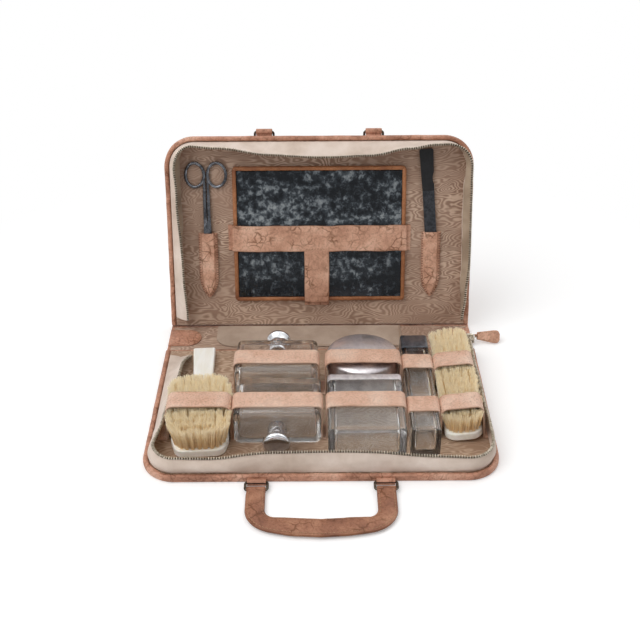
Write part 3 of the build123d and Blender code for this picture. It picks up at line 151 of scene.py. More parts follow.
def drum_grained_hide(name, pale, tan, brown, grain, crackle=0.7, cell=8.0):
    """Vegetable-tanned hide, drummed until it creases, then cracked by a century of use.

    The eye sees a fine mottled grain, cloudy tone where hands have rubbed it paler, a broken net of dark cracks,
    and cut edges that have darkened. grain is the pebble's width and cell the width between cracks, in
    millimetres; the real pebbles are half as wide, and are drawn coarser to show.
    """
    made, tree = new_finish(name)
    place = add(tree, "TexCoord").outputs["Object"]
    wander = add(tree, "TexNoise", {"Vector": place, "Scale": per_metre(cell * 1.3), "Detail": 4.0})
    middle = add(tree, "VectorMath", {0: wander.outputs["Color"], 1: (0.5, 0.5, 0.5)}, operation="SUBTRACT")
    bent = add(tree, "VectorMath", {0: middle.outputs[0], 3: cell * 1.5 * MM}, operation="SCALE")
    warped = add(tree, "VectorMath", {0: place, 1: bent.outputs[0]}, operation="ADD").outputs[0]
    clouds = add(tree, "TexNoise", {"Vector": place, "Scale": per_metre(30), "Detail": 5.0, "Roughness": 0.62})
    tone = add(tree, "ValToRGB", {"Fac": clouds.outputs["Fac"]}, stops=((0.34, brown), (0.66, pale), (0.5, tan)))
    net = add(tree, "TexVoronoi", {"Vector": warped, "Scale": per_metre(cell)}, feature="DISTANCE_TO_EDGE")
    crack = add(tree, "MapRange", {"Value": net.outputs["Distance"], "From Min": 0.0, "From Max": 0.11,
                                   "To Min": 1.0, "To Max": 0.0}, interpolation_type="SMOOTHSTEP").outputs[0]
    patches = add(tree, "TexNoise", {"Vector": place, "Scale": per_metre(cell * 1.8), "Detail": 3.0})
    broken = add(tree, "MapRange", {"Value": patches.outputs["Fac"], "From Min": 0.42, "From Max": 0.6}).outputs[0]
    crack = add(tree, "Math", {0: crack, 1: broken}, operation="MULTIPLY").outputs[0]
    crack = add(tree, "Math", {0: crack, 1: crackle}, operation="MULTIPLY").outputs[0]
    speck = add(tree, "TexNoise", {"Vector": place, "Scale": per_metre(grain), "Detail": 4.0, "Roughness": 0.7})
    pit = add(tree, "MapRange", {"Value": speck.outputs["Fac"], "From Min": 0.52, "From Max": 0.34, "To Min": 0.0,
                                 "To Max": 0.55}).outputs[0]
    edge = add(tree, "Attribute", attribute_name="edge").outputs["Fac"]
    edge = add(tree, "Math", {0: edge, 1: 0.7}, operation="MULTIPLY").outputs[0]
    both = add(tree, "Math", {0: crack, 1: pit}, operation="MAXIMUM").outputs[0]
    both = add(tree, "Math", {0: both, 1: edge}, operation="MAXIMUM").outputs[0]
    dark = add(tree, "HueSaturation", {"Saturation": 1.25, "Value": 0.38, "Color": tone.outputs["Color"]})
    skin = add(tree, "Mix", {0: both, 6: tone.outputs["Color"], 7: dark.outputs["Color"]}, data_type="RGBA")
    gloss = add(tree, "MapRange", {"Value": clouds.outputs["Fac"], "To Min": 0.6, "To Max": 0.4}).outputs[0]
    height = add(tree, "Math", {0: both, 1: -1.2, 2: speck.outputs["Fac"]}, operation="MULTIPLY_ADD").outputs[0]
    bump = add(tree, "Bump", {"Height": height, "Strength": 0.6, "Distance": 0.3 * MM}).outputs[0]
    shader = add(tree, "BsdfPrincipled", {"Base Color": skin.outputs[2], "Roughness": gloss, "Normal": bump,
                                          "Specular IOR Level": 0.4})
    add(tree, "OutputMaterial", {"Surface": shader.outputs[0]})
    return made


case_hide = drum_grained_hide("drum_grained_case_hide", "#d8a991", "#c28d74", "#9e6e57", 2.2, 0.85, 9.0)
handle_hide = drum_grained_hide("hand_polished_handle_hide", "#b58265", "#9c694f", "#7e503b", 2.0, 0.9, 11.0)
strap_hide = drum_grained_hide("soft_strap_hide", "#e6c6b1", "#deb7a0", "#d0a48b", 1.8, 0.25, 14.0)
pocket_hide = drum_grained_hide("creased_pocket_hide", "#e6bba2", "#d3a389", "#b4836a", 2.0, 1.0, 10.0)
frame_hide = drum_grained_hide("smooth_frame_hide", "#b67a52", "#a06843", "#834f31", 2.2, 0.3, 9.0)


# ---------------------------------------------------------------- cloth


def twill_canvas(name, pale, beige, shade):
    """Cotton twill of the walls: a matt beige cloth with fine slanting ribs, soiled in soft clouds.

    The real thread is 0.4 mm; it is drawn as ribs 1.3 mm apart, as coarse as it needs to show.
    """
    made, tree = new_finish(name)
    rib = 1.3
    run = add(tree, "Attribute", attribute_name="run").outputs["Fac"]
    rise = add(tree, "Attribute", attribute_name="rise").outputs["Fac"]
    slant = add(tree, "Math", {0: run, 1: rise}, operation="ADD").outputs[0]
    ribs = add(tree, "Math", {0: slant, 1: 2 * math.pi / rib}, operation="MULTIPLY").outputs[0]
    ribs = add(tree, "Math", {0: ribs}, operation="SINE").outputs[0]
    cross = add(tree, "Math", {0: run, 1: 2 * math.pi / (rib * 0.7)}, operation="MULTIPLY").outputs[0]
    cross = add(tree, "Math", {0: cross}, operation="SINE").outputs[0]
    weave = add(tree, "Math", {0: cross, 1: 0.4, 2: ribs}, operation="MULTIPLY_ADD").outputs[0]
    place = add(tree, "TexCoord").outputs["Object"]
    clouds = add(tree, "TexNoise", {"Vector": place, "Scale": per_metre(42), "Detail": 5.0, "Roughness": 0.6})
    tone = add(tree, "ValToRGB", {"Fac": clouds.outputs["Fac"]}, stops=((0.3, shade), (0.66, pale), (0.5, beige)))
    lift = add(tree, "MapRange", {"Value": weave, "From Min": -1.4, "From Max": 1.4, "To Min": 0.9,
                                  "To Max": 1.05}).outputs[0]
    cloth = add(tree, "HueSaturation", {"Value": lift, "Color": tone.outputs["Color"]}).outputs[0]
    bump = add(tree, "Bump", {"Height": weave, "Strength": 0.25, "Distance": 0.15 * MM}).outputs[0]
    shader = add(tree, "BsdfPrincipled", {"Base Color": cloth, "Roughness": 0.9, "Normal": bump,
                                          "Sheen Weight": 0.15, "Specular IOR Level": 0.2})
    add(tree, "OutputMaterial", {"Surface": shader.outputs[0]})
    return made


canvas = twill_canvas("cotton_twill_canvas", "#e5d5c9", "#d8c6b8", "#c4b0a0")
flap_canvas = twill_canvas("flap_twill_canvas", "#c2ad9b", "#b39d8b", "#a08976")
zip_tape = twill_canvas("zip_tape_cotton", "#b5a08a", "#9f8a75", "#84705d")
# the cord's near-black colour is painted shade, in the gaps between the zip teeth and under them
cord_painted_shade = twill_canvas("cord_cotton_painted_shade", "#5d4c3c", "#4a3b2e", "#372b21")


def watered_silk(name, pale, taupe, shade):
    """Moire silk, ribbed and pressed while damp.

    The eye sees close wandering contour lines like wood grain, in long loops across the cloth with upright zigzag
    bands between them, which shine against the dull ground. The lines are 2 to 4 mm apart.
    """
    made, tree = new_finish(name)
    place = add(tree, "TexCoord").outputs["Object"]
    drawn = add(tree, "VectorMath", {0: place, 1: (0.4, 1.0, 1.0)}, operation="MULTIPLY").outputs[0]
    hills = add(tree, "TexNoise", {"Vector": drawn, "Scale": per_metre(20), "Detail": 2.0, "Roughness": 0.4,
                                   "Distortion": 0.3}).outputs["Fac"]
    jitter = add(tree, "VectorMath", {0: place, 1: (0.15, 1.0, 1.0)}, operation="MULTIPLY").outputs[0]
    jitter = add(tree, "TexNoise", {"Vector": jitter, "Scale": per_metre(3.2), "Detail": 1.0}).outputs["Fac"]
    field = add(tree, "Math", {0: jitter, 1: 0.035, 2: hills}, operation="MULTIPLY_ADD").outputs[0]
    rings = add(tree, "Math", {0: field, 1: 150.0}, operation="MULTIPLY").outputs[0]
    rings = add(tree, "Math", {0: rings}, operation="SINE").outputs[0]
    contour = add(tree, "MapRange", {"Value": rings, "From Min": -0.7, "From Max": 0.9}).outputs[0]
    rib = add(tree, "TexNoise", {"Vector": place, "Scale": per_metre(1.4), "Detail": 2.0}).outputs["Fac"]
    strength = add(tree, "TexNoise", {"Vector": place, "Scale": per_metre(45), "Detail": 2.0}).outputs["Fac"]
    strength = add(tree, "MapRange", {"Value": strength, "From Min": 0.35, "From Max": 0.65, "To Min": 0.35,
                                      "To Max": 1.0}).outputs[0]
    figure = add(tree, "Math", {0: contour, 1: strength}, operation="MULTIPLY").outputs[0]
    clouds = add(tree, "TexNoise", {"Vector": place, "Scale": per_metre(55), "Detail": 4.0}).outputs["Fac"]
    ground = add(tree, "ValToRGB", {"Fac": clouds}, stops=((0.35, shade), (0.65, taupe))).outputs[0]
    cloth = add(tree, "Mix", {0: figure, 6: ground, 7: colour(pale)}, data_type="RGBA").outputs[2]
    gloss = add(tree, "MapRange", {"Value": figure, "From Max": 0.8, "To Min": 0.6, "To Max": 0.42}).outputs[0]
    bump = add(tree, "Bump", {"Height": rib, "Strength": 0.3, "Distance": 0.2 * MM}).outputs[0]
    shader = add(tree, "BsdfPrincipled", {"Base Color": cloth, "Roughness": gloss, "Normal": bump,
                                          "Sheen Weight": 0.2, "Specular IOR Level": 0.4})
    add(tree, "OutputMaterial", {"Surface": shader.outputs[0]})
    return made


base_silk = watered_silk("watered_silk_base", "#bfa48c", "#a08067", "#8c6e57")
lid_silk = watered_silk("watered_silk_lid", "#cdb29c", "#a28370", "#8e705d")


def linen_thread(name, dark, pale):
    """Waxed linen sewing thread: a dull line of short stitches, darker where it has taken up polish."""
    made, tree = new_finish(name)
    place = add(tree, "TexCoord").outputs["Object"]
    ply = add(tree, "TexNoise", {"Vector": place, "Scale": per_metre(0.5)}).outputs["Fac"]
    tone = add(tree, "ValToRGB", {"Fac": ply}, stops=((0.3, dark), (0.7, pale))).outputs[0]
    shader = add(tree, "BsdfPrincipled", {"Base Color": tone, "Roughness": 0.7})
    add(tree, "OutputMaterial", {"Surface": shader.outputs[0]})
    return made


thread = linen_thread("waxed_linen_thread", "#8a6448", "#c39a78")
whip_thread = linen_thread("dark_whip_thread", "#4d2f20", "#7d533c")

# ---------------------------------------------------------------- metals, glass and the rest


def worn_metal(name, bright, dull, polish, wear, patch=9.0, scratch=0.12):
    """Metal with a surface worn by use: the eye sees tarnish in clouds and fine random scratches.

    polish and wear are the roughness of its bright and its dull places; patch is a cloud's width in millimetres.
    """
    made, tree = new_finish(name)
    place = add(tree, "TexCoord").outputs["Object"]
    clouds = add(tree, "TexNoise", {"Vector": place, "Scale": per_metre(patch), "Detail": 6.0,
                                    "Roughness": 0.65}).outputs["Fac"]
    tone = add(tree, "ValToRGB", {"Fac": clouds}, stops=((0.38, dull), (0.6, bright))).outputs[0]
    gloss = add(tree, "MapRange", {"Value": clouds, "From Min": 0.35, "From Max": 0.65, "To Min": wear,
                                   "To Max": polish}).outputs[0]
    drawn = add(tree, "VectorMath", {0: place, 1: (1.0, 7.0, 2.0)}, operation="MULTIPLY").outputs[0]
    lines = add(tree, "TexNoise", {"Vector": drawn, "Scale": per_metre(2.4), "Detail": 3.0}).outputs["Fac"]
    bump = add(tree, "Bump", {"Height": lines, "Strength": scratch, "Distance": 0.05 * MM}).outputs[0]
    shader = add(tree, "BsdfPrincipled", {"Base Color": tone, "Metallic": 1.0, "Roughness": gloss, "Normal": bump})
    add(tree, "OutputMaterial", {"Surface": shader.outputs[0]})
    return made


chrome_plate = worn_metal("polished_chrome_plate", "#e6e7ea", "#cfd0d4", 0.1, 0.2, 12.0, 0.05)
dark_plate = worn_metal("tarnished_nickel_plate", "#858c96", "#5f656e", 0.3, 0.42, 10.0)
silver_plate = worn_metal("worn_silver_plate", "#f0ecec", "#c4bdc0", 0.34, 0.5, 14.0, 0.3)
zip_brass = worn_metal("aged_zip_brass", "#d9d0c0", "#9c9180", 0.35, 0.5, 3.0)
ring_steel = worn_metal("browned_ring_steel", "#6f665b", "#3b352e", 0.4, 0.6, 4.0)
tool_steel = worn_metal("aged_tool_steel", "#8f9299", "#4d4f54", 0.16, 0.4, 7.0)
file_steel = worn_metal("cut_file_steel", "#55575c", "#3e4044", 0.4, 0.5, 3.0, 0.8)


def pressed_glass():
    """Colourless pressed glass: clear, with walls that ripple a little so that what lies behind them bends."""
    made, tree = new_finish("pressed_clear_glass")
    place = add(tree, "TexCoord").outputs["Object"]
    ripple = add(tree, "TexNoise", {"Vector": place, "Scale": per_metre(17), "Detail": 1.0}).outputs["Fac"]
    bump = add(tree, "Bump", {"Height": ripple, "Strength": 0.35, "Distance": 0.6 * MM}).outputs[0]
    glass = add(tree, "BsdfPrincipled", {"Base Color": colour("#fcfdfd"), "Roughness": 0.015, "IOR": 1.5,
                                         "Transmission Weight": 1.0, "Normal": bump}).outputs[0]
    clear = add(tree, "BsdfTransparent", {"Color": colour("#fbfcfc")}).outputs[0]
    thin = add(tree, "MixShader", {0: 0.08, 1: glass, 2: clear}).outputs[0]
    shadow = add(tree, "LightPath").outputs["Is Shadow Ray"]
    shader = add(tree, "MixShader", {0: shadow, 1: thin, 2: clear})
    add(tree, "OutputMaterial", {"Surface": shader.outputs[0]})
    return made


def aged_mirror():
    """Silvered plate glass whose silver has gone dark: slate grey, with pale cloudy blooms and black specks."""
    made, tree = new_finish("aged_silvered_glass")
    place = add(tree, "TexCoord").outputs["Object"]
    fine = add(tree, "TexNoise", {"Vector": place, "Scale": per_metre(6.5), "Detail": 9.0, "Roughness": 0.66,
                                  "Distortion": 0.2}).outputs["Fac"]
    wide = add(tree, "VectorMath", {0: place, 1: (0.55, 1.3, 1.3)}, operation="MULTIPLY").outputs[0]
    areas = add(tree, "TexNoise", {"Vector": wide, "Scale": per_metre(38), "Detail": 3.0}).outputs["Fac"]
    bloom = add(tree, "Math", {0: areas, 1: 0.8, 2: fine}, operation="MULTIPLY_ADD").outputs[0]
    bloom = add(tree, "MapRange", {"Value": bloom, "From Min": 0.77, "From Max": 1.19}).outputs[0]
    shown = add(tree, "ValToRGB", {"Fac": bloom}, stops=((0.2, "#1c2025"), (1.0, "#9ea4a6"), (0.45, "#33393f"),
                                                         (0.6, "#545b61"), (0.72, "#777e83"))).outputs[0]
    gloss = add(tree, "MapRange", {"Value": fine, "From Min": 0.4, "From Max": 0.7, "To Min": 0.12,
                                   "To Max": 0.45}).outputs[0]
    shader = add(tree, "BsdfPrincipled", {"Base Color": shown, "Metallic": 0.35, "Roughness": gloss,
                                          "Coat Weight": 0.15, "Coat Roughness": 0.05})
    add(tree, "OutputMaterial", {"Surface": shader.outputs[0]})
    return made


def ivory_celluloid():
    """Cast celluloid of the brush backs: creamy white, satin, a little yellower in streaks."""
    made, tree = new_finish("ivory_celluloid")
    place = add(tree, "TexCoord").outputs["Object"]
    drawn = add(tree, "VectorMath", {0: place, 1: (1.0, 0.15, 1.0)}, operation="MULTIPLY").outputs[0]
    streak = add(tree, "TexNoise", {"Vector": drawn, "Scale": per_metre(5), "Detail": 4.0}).outputs["Fac"]
    tone = add(tree, "ValToRGB", {"Fac": streak}, stops=((0.35, "#f3efe4"), (0.65, "#fcfaf4"))).outputs[0]
    shader = add(tree, "BsdfPrincipled", {"Base Color": tone, "Roughness": 0.3, "Subsurface Weight": 0.1,
                                          "Subsurface Radius": (0.002, 0.0015, 0.001)})
    add(tree, "OutputMaterial", {"Surface": shader.outputs[0]})
    return made


def boar_bristle():
    """Bleached boar bristle: cream at the tips, darkening to honey at the roots as painted shade down in the bed, no
    two hairs alike.

    Bristle lets much of the light through, so that a thick bed of it stays bright down among the hairs.
    """
    made, tree = new_finish("bleached_boar_bristle")
    along = add(tree, "Attribute", attribute_name="along").outputs["Fac"]
    hair = add(tree, "Attribute", attribute_name="hair").outputs["Fac"]
    # the ramp darkens each hair towards its root: painted shade deep among the hairs
    length = add(tree, "ValToRGB", {"Fac": along}, stops=((0.0, "#f6d69a"), (0.9, "#fff4d8"), (0.5, "#ffebbc")))
    lift = add(tree, "MapRange", {"Value": hair, "To Min": 0.86, "To Max": 1.1}).outputs[0]
    tone = add(tree, "HueSaturation", {"Value": lift, "Color": length.outputs[0]}).outputs[0]
    shader = add(tree, "BsdfPrincipled", {"Base Color": tone, "Roughness": 0.4, "Sheen Weight": 0.5,
                                          "Specular IOR Level": 0.5}).outputs[0]
    through = add(tree, "BsdfTransparent", {"Color": colour("#fff0d0")}).outputs[0]
    shadow = add(tree, "LightPath").outputs["Is Shadow Ray"]
    thin = add(tree, "Math", {0: shadow, 1: 0.9}, operation="MULTIPLY").outputs[0]
    lit = add(tree, "MixShader", {0: thin, 1: shader, 2: through})
    add(tree, "OutputMaterial", {"Surface": lit.outputs[0]})
    return made


def speckled(name, pale, dark, speck, roughness, depth):
    """A dull cut or moulded material whose eye-catching thing is its fine speckle, such as cork or pasteboard."""
    made, tree = new_finish(name)
    place = add(tree, "TexCoord").outputs["Object"]
    grains = add(tree, "TexVoronoi", {"Vector": place, "Scale": per_metre(speck)}).outputs["Distance"]
    clouds = add(tree, "TexNoise", {"Vector": place, "Scale": per_metre(speck * 3), "Detail": 3.0}).outputs["Fac"]
    mixed = add(tree, "Math", {0: grains, 1: clouds}, operation="MULTIPLY").outputs[0]
    tone = add(tree, "ValToRGB", {"Fac": mixed}, stops=((0.05, dark), (0.4, pale))).outputs[0]
    bump = add(tree, "Bump", {"Height": grains, "Strength": 0.4, "Distance": depth * MM}).outputs[0]
    shader = add(tree, "BsdfPrincipled", {"Base Color": tone, "Roughness": roughness, "Normal": bump})
    add(tree, "OutputMaterial", {"Surface": shader.outputs[0]})
    return made


glass = pressed_glass()
mirror_silver = aged_mirror()
celluloid = ivory_celluloid()
bristle = boar_bristle()
cork = speckled("cut_cork", "#b98f63", "#6f4a2c", 1.1, 0.85, 0.1)
pasteboard = speckled("grey_pasteboard", "#9c8f7c", "#7b6f5f", 0.7, 0.9, 0.05)
ebonite = speckled("turned_black_ebonite", "#1b1b1e", "#0d0d0f", 2.5, 0.35, 0.02)

# ---------------------------------------------------------------- shapes


class Skin:
    """Points and faces of closed surfaces, in millimetres, with named values carried by the points."""

    def __init__(self, points, faces, **marks):
        self.points = [Vector(p) for p in points]
        self.faces = [tuple(f) for f in faces]
        self.marks = marks

    def placed(self, place):
        return Skin([place @ p for p in self.points], self.faces, **self.marks)

    def __add__(self, other):
        start = len(self.points)
        faces = self.faces + [tuple(start + k for k in face) for face in other.faces]
        marks = {}
        for name in sorted({*self.marks, *other.marks}):
            mine = self.marks.get(name, [0.0] * start)
            marks[name] = list(mine) + list(other.marks.get(name, [0.0] * len(other.points)))
        return Skin(self.points + other.points, faces, **marks)


def joined(skins):
    """Many skins as one, in order."""
    points, faces = [], []
    skins = list(skins)
    names = sorted({name for skin in skins for name in skin.marks})
    marks = {name: [] for name in names}
    for skin in skins:
        start = len(points)
        points += skin.points
        faces += [tuple(start + k for k in face) for face in skin.faces]
        for name in names:
            marks[name] += skin.marks.get(name, [0.0] * len(skin.points))
    return Skin(points, faces, **marks)


def piece(name, layers, body, stands_for=(), crease=35.0):
    """An object made of (skin, finish) layers, riding on a body, in place of the nodes that it stands for."""
    skin = joined(layer for layer, _ in layers)
    mesh = bpy.data.meshes.new(name)
    mesh.from_pydata([p * MM for p in skin.points], [], skin.faces)
    owners = [index for index, (layer, _) in enumerate(layers) for _ in layer.faces]
    mesh.polygons.foreach_set("material_index", owners)
    for mark, values in skin.marks.items():
        mesh.attributes.new(mark, "FLOAT", "POINT").data.foreach_set("value", values)
    for _, finish in layers:
        mesh.materials.append(finish)
    shell = bmesh.new()
    shell.from_mesh(mesh)
    bmesh.ops.remove_doubles(shell, verts=shell.verts, dist=0.002 * MM)
    bmesh.ops.recalc_face_normals(shell, faces=shell.faces)
    shell.to_mesh(mesh)
    shell.free()
    mesh.polygons.foreach_set("use_smooth", [True] * len(mesh.polygons))
    mesh.set_sharp_from_angle(angle=math.radians(crease))
    made = bpy.data.objects.new(name, mesh)
    bpy.context.scene.collection.objects.link(made)
    if body:
        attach(made, body)
    if stands_for:
        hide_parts(*stands_for)
    return made


def even(path, step, closed=False):
    """The path with points added to every run that is longer than a step."""
    filled = []
    runs = len(path) if closed else len(path) - 1
    for i in range(runs):
        a, b = path[i], path[(i + 1) % len(path)]
        parts = max(1, math.ceil((b - a).length / step))
        filled += [a.lerp(b, k / parts) for k in range(parts)]
    return filled if closed else filled + [path[-1]]


def rounded(corners, closed=False, step=3.0, bend=12.0):
    """A path through corners (a, b, radius), with an arc at each and points about a step apart."""
    path = []
    for i, (a, b, radius) in enumerate(corners):
        here = Vector((a, b))
        if radius == 0 or not closed and i in (0, len(corners) - 1):
            path.append(here)
            continue
        before = Vector(corners[i - 1][:2])
        after = Vector(corners[(i + 1) % len(corners)][:2])
        into = (here - before).normalized()
        out = (after - here).normalized()
        turn = math.atan2(into.x * out.y - into.y * out.x, into.dot(out))
        reach = min(radius * math.tan(abs(turn) / 2), (here - before).length / 2, (after - here).length / 2)
        radius = reach / math.tan(abs(turn) / 2)
        side = Vector((-into.y, into.x)) * math.copysign(1, turn)
        centre = here - into * reach + side * radius
        parts = max(1, round(abs(math.degrees(turn)) / bend))
        for k in range(parts + 1):
            swing = Matrix.Rotation(turn * k / parts, 2)
            path.append(centre - swing @ (side * radius))
    return even(path, step, closed)


def directions(path, closed=False):
    """The unit direction of travel at each point of a path."""
    last = len(path) - 1
    found = []
    for i in range(len(path)):
        before = path[i - 1] if closed or i > 0 else path[0]
        after = path[(i + 1) % len(path)] if closed or i < last else path[last]
        found.append((after - before).normalized())
    return found


def swept(rings, closed=False, **marks):
    """A skin over rings of as many points each, capped at both ends unless it is closed."""
    count = len(rings[0])
    points = [p for ring in rings for p in ring]
    faces = []
    for i in range(len(rings) if closed else len(rings) - 1):
        a = i * count
        b = (i + 1) % len(rings) * count
        faces += [(a + j, a + (j + 1) % count, b + (j + 1) % count, b + j) for j in range(count)]
    if not closed:
        faces.append(range(count - 1, -1, -1))
        faces.append(range(len(points) - count, len(points)))
    return Skin(points, faces, **marks)


def blanket(upper, lower, **marks):
    """A sheet with thickness: two grids of points that match row by row, closed round their border."""
    rows, columns = len(upper), len(upper[0])
    points = [p for grid in (upper, lower) for row in grid for p in row]

    def at(layer, i, j):
        return (layer * rows + i) * columns + j

    faces = []
    for i in range(rows - 1):
        for j in range(columns - 1):
            faces.append((at(0, i, j), at(0, i, j + 1), at(0, i + 1, j + 1), at(0, i + 1, j)))
            faces.append((at(1, i, j), at(1, i + 1, j), at(1, i + 1, j + 1), at(1, i, j + 1)))
    border = [(0, j) for j in range(columns)] + [(i, columns - 1) for i in range(1, rows)]
    border += [(rows - 1, j) for j in range(columns - 2, -1, -1)] + [(i, 0) for i in range(rows - 2, 0, -1)]
    for (i, j), (k, m) in zip(border, border[1:] + border[:1]):
        faces.append((at(0, i, j), at(1, i, j), at(1, k, m), at(0, k, m)))
    return Skin(points, faces, **marks)


def inset_ring(outline, inset):
    """A closed outline, drawn anticlockwise, moved inwards."""
    return [p + Vector((-t.y, t.x)) * inset for p, t in zip(outline, directions(outline, closed=True))]


def slab(outline, levels):
    """A plate over a closed outline; levels are (height, inset) from its underside to its top."""
    return swept([[(p.x, p.y, z) for p in inset_ring(outline, inset)] for z, inset in levels])


def soft_slab(outline, low, high, edge):
    """A plate whose upper and lower edges are rounded over a radius."""
    share = 1 - math.sqrt(0.5)
    levels = [(low, edge), (low + edge * share, edge * share), (low + edge, 0)]
    levels += [(high - edge, 0), (high - edge * share, edge * share), (high, edge)]
    return slab(outline, levels)


def spun(profile, sides=72):
    """A turned skin about the Z axis from (radius, height) points; its first and last points are near the axis."""
    rings = []
    for radius, height in profile:
        ring = []
        for k in range(sides):
            angle = 2 * math.pi * k / sides
            ring.append((radius * math.cos(angle), radius * math.sin(angle), height))
        rings.append(ring)
    return swept(rings)


def arc(centre, radius, start, end, parts=6):
    """Points of an arc between two angles in degrees."""
    angles = [math.radians(start + (end - start) * k / parts) for k in range(parts + 1)]
    return [(centre[0] + radius * math.cos(a), centre[1] + radius * math.sin(a)) for a in angles]


def ripple(x, y, z, width, seed):
    """A smooth uneven value from about -1 to 1, whose hills are this wide."""
    return noise.noise(Vector((x / width, y / width, z / width + seed * 17.3))) * 1.6


def held(value):
    """The value, held between 0 and 1."""
    return max(0.0, min(1.0, value))


def soft_step(share):
    """A share from 0 to 1 that starts and stops gently."""
    return share * share * (3 - 2 * share)


def eased(knots, at):
    """A value that eases from one knot to the next."""
    for (start, low), (end, high) in zip(knots, knots[1:]):
        if at <= end:
            return low + (high - low) * soft_step((at - start) / (end - start))
    return knots[-1][1]


def oval(centre, across, up, wide, high, sides):
    """A ring of points round a centre, this wide and high from it."""
    turns = [2 * math.pi * k / sides for k in range(sides)]
    return [centre + across * (wide * math.cos(t)) + up * (high * math.sin(t)) for t in turns]


# ---------------------------------------------------------------- strips of leather


def strip_section(width, thickness, crown=0.0):
    """Across, out and edge values round a flat strip with rounded cut edges."""
    half, radius = width / 2, thickness / 2
    across = [-1, -0.93, -0.72, -0.36, 0, 0.36, 0.72, 0.93, 1]
    flat = half - radius
    upper = [(s * flat, radius + crown * (1 - s * s)) for s in across]
    right = arc((flat, 0), radius, 60, -60, 2)
    lower = [(s * flat, -radius - crown * (1 - s * s)) for s in reversed(across)]
    left = arc((-flat, 0), radius, 240, 120, 2)
    section = upper + right + lower + left
    return [(a, b, max(0.0, (abs(a) / half - 0.9) * 10)) for a, b in section]


def ribbon(path, lay, width, thickness, seed=0, wave=0.2, crown=0.0, stray=0.4):
    """A leather strap along a path in a plane, a little uneven, as worn leather is.

    lay places (along, out, across). width is a number or a function of the share of the way along.
    """
    rings, edge = [], []
    for i, (point, travel) in enumerate(zip(path, directions(path))):
        wide = width(i / (len(path) - 1)) if callable(width) else width
        out = Vector((-travel.y, travel.x))
        drift = stray * ripple(point.x, point.y, 0, 22, seed)
        ring = []
        for across, height, dark in strip_section(wide, thickness, crown):
            height += wave * ripple(point.x, point.y, across, 9, seed)
            spot = point + out * height
            ring.append(lay @ Vector((spot.x, spot.y, across + drift)))
            edge.append(dark)
        rings.append(ring)
    return swept(rings, edge=edge)


def stitches(route, ups, pitch=3.2, length=2.1, radius=0.3):
    """A row of short raised stitches along a route of points; ups are the directions out of the leather."""
    skins = []
    at = pitch / 2
    for a, b, up in zip(route, route[1:], ups):
        run = (b - a).length
        along = (b - a) / run if run else None
        while at < run:
            middle = a + along * at
            across = along.cross(up).normalized()
            rings = []
            for share, lift in ((-1, -0.25), (-0.6, 0.1), (0, 0.22), (0.6, 0.1), (1, -0.25)):
                core = middle + along * (share * length / 2) + up * lift
                thick = radius * (1 - 0.35 * share * share)
                rings.append(oval(core, across, up, thick, thick, 6))
            skins.append(swept(rings))
            at += pitch
        at -= run
    return joined(skins)


def sewn(path, lay, height, **row):
    """A row of stitches along a plane path at a height above it."""
    up = (lay.to_3x3() @ Vector((0, 0, 1))).normalized()
    route = [lay @ Vector((p.x, p.y, height)) for p in path]
    return stitches(route, [up] * len(route), **row)


def roll(outer, inner, width, place, start=0, end=360):
    """A strip of leather rolled round a bar along X, as a tube with soft edges."""
    parts = 28
    rings = []
    soft = (outer - inner) * 0.3
    half = width / 2
    section = [(inner, -half + soft), (inner, half - soft), (inner + soft, half), (outer - soft, half),
               (outer, half - soft), (outer, -half + soft), (outer - soft, -half), (inner + soft, -half)]
    closed = end - start == 360
    for k in range(parts if closed else parts + 1):
        angle = math.radians(start + (end - start) * k / parts)
        rings.append([place @ Vector((x, r * math.cos(angle), r * math.sin(angle))) for r, x in section])
    return swept(rings, closed=closed)


# ---------------------------------------------------------------- trays


def tray_route(inset, start, step=4.0):
    """Points (x, depth) round a tray, from the left hinge end round the far side to the right hinge end."""
    half, far, radius = CASE_HALF - inset, CASE_DEPTH - inset, CORNER - inset
    corners = [(-half, start, 0), (-half, far, radius), (half, far, radius), (half, start, 0)]
    return rounded(corners, step=step, bend=6)


def tray_half_width(inset, depth):
    """Half the tray's width at a depth from its hinge."""
    half, radius = CASE_HALF - inset, CORNER - inset
    past = depth - (CASE_DEPTH - inset - radius)
    return half if past <= 0 else half - radius + math.sqrt(max(radius * radius - past * past, 0))


def rolled_cover(seed):
    """Leather skin of a tray with its padded, turned-over rim on three sides."""
    section = [(3.0, 0.0), (1.2, 0.0), (0.35, 0.35), (0.0, 1.2), (-0.15, 3.0), (-0.1, 4.6)]
    section += [(2.0 - 2.1 * math.cos(math.radians(a)), 4.9 + 2.1 * math.sin(math.radians(a))) for a in (20, 45, 70)]
    section += [(2.6, RIM_HEIGHT), (3.6, 6.75), (4.6, 6.0), (RIM_WIDTH, 5.0), (RIM_WIDTH, COVER)]
    route = tray_route(0, 0.0, 3.0)
    rings = []
    for point, travel in zip(route, directions(route)):
        inward = Vector((travel.y, -travel.x))
        ring = []
        for inset, height in section:
            swell = 0.28 * ripple(point.x, point.y, height, 16, seed) * min(height / 3, 1)
            spot = point + inward * (inset + swell)
            ring.append((spot.x, spot.y, height + swell * 0.8))
        rings.append(ring)
    count = len(section)
    body = swept(rings)
    body.faces = body.faces[:-2]
    body.faces = [f for f in body.faces if not {f[0] % count, f[1] % count} == {0, count - 1}]
    last = (len(rings) - 1) * count
    body.faces.append(tuple(i * count for i in range(len(rings))))
    body.faces.append(tuple(i * count + count - 1 for i in reversed(range(len(rings)))))
    body.faces.append(tuple(range(count)) + tuple(last + k for k in reversed(range(count))))
    return body


# where the lid's silk has creased: the pleat's place across the lid, and how far up it runs
LID_PLEATS = ((97.5, 118), (102.0, 105), (-133.0, 190), (-148.0, 190), (141.0, 180))
PLEAT_WIDTH = 1.3


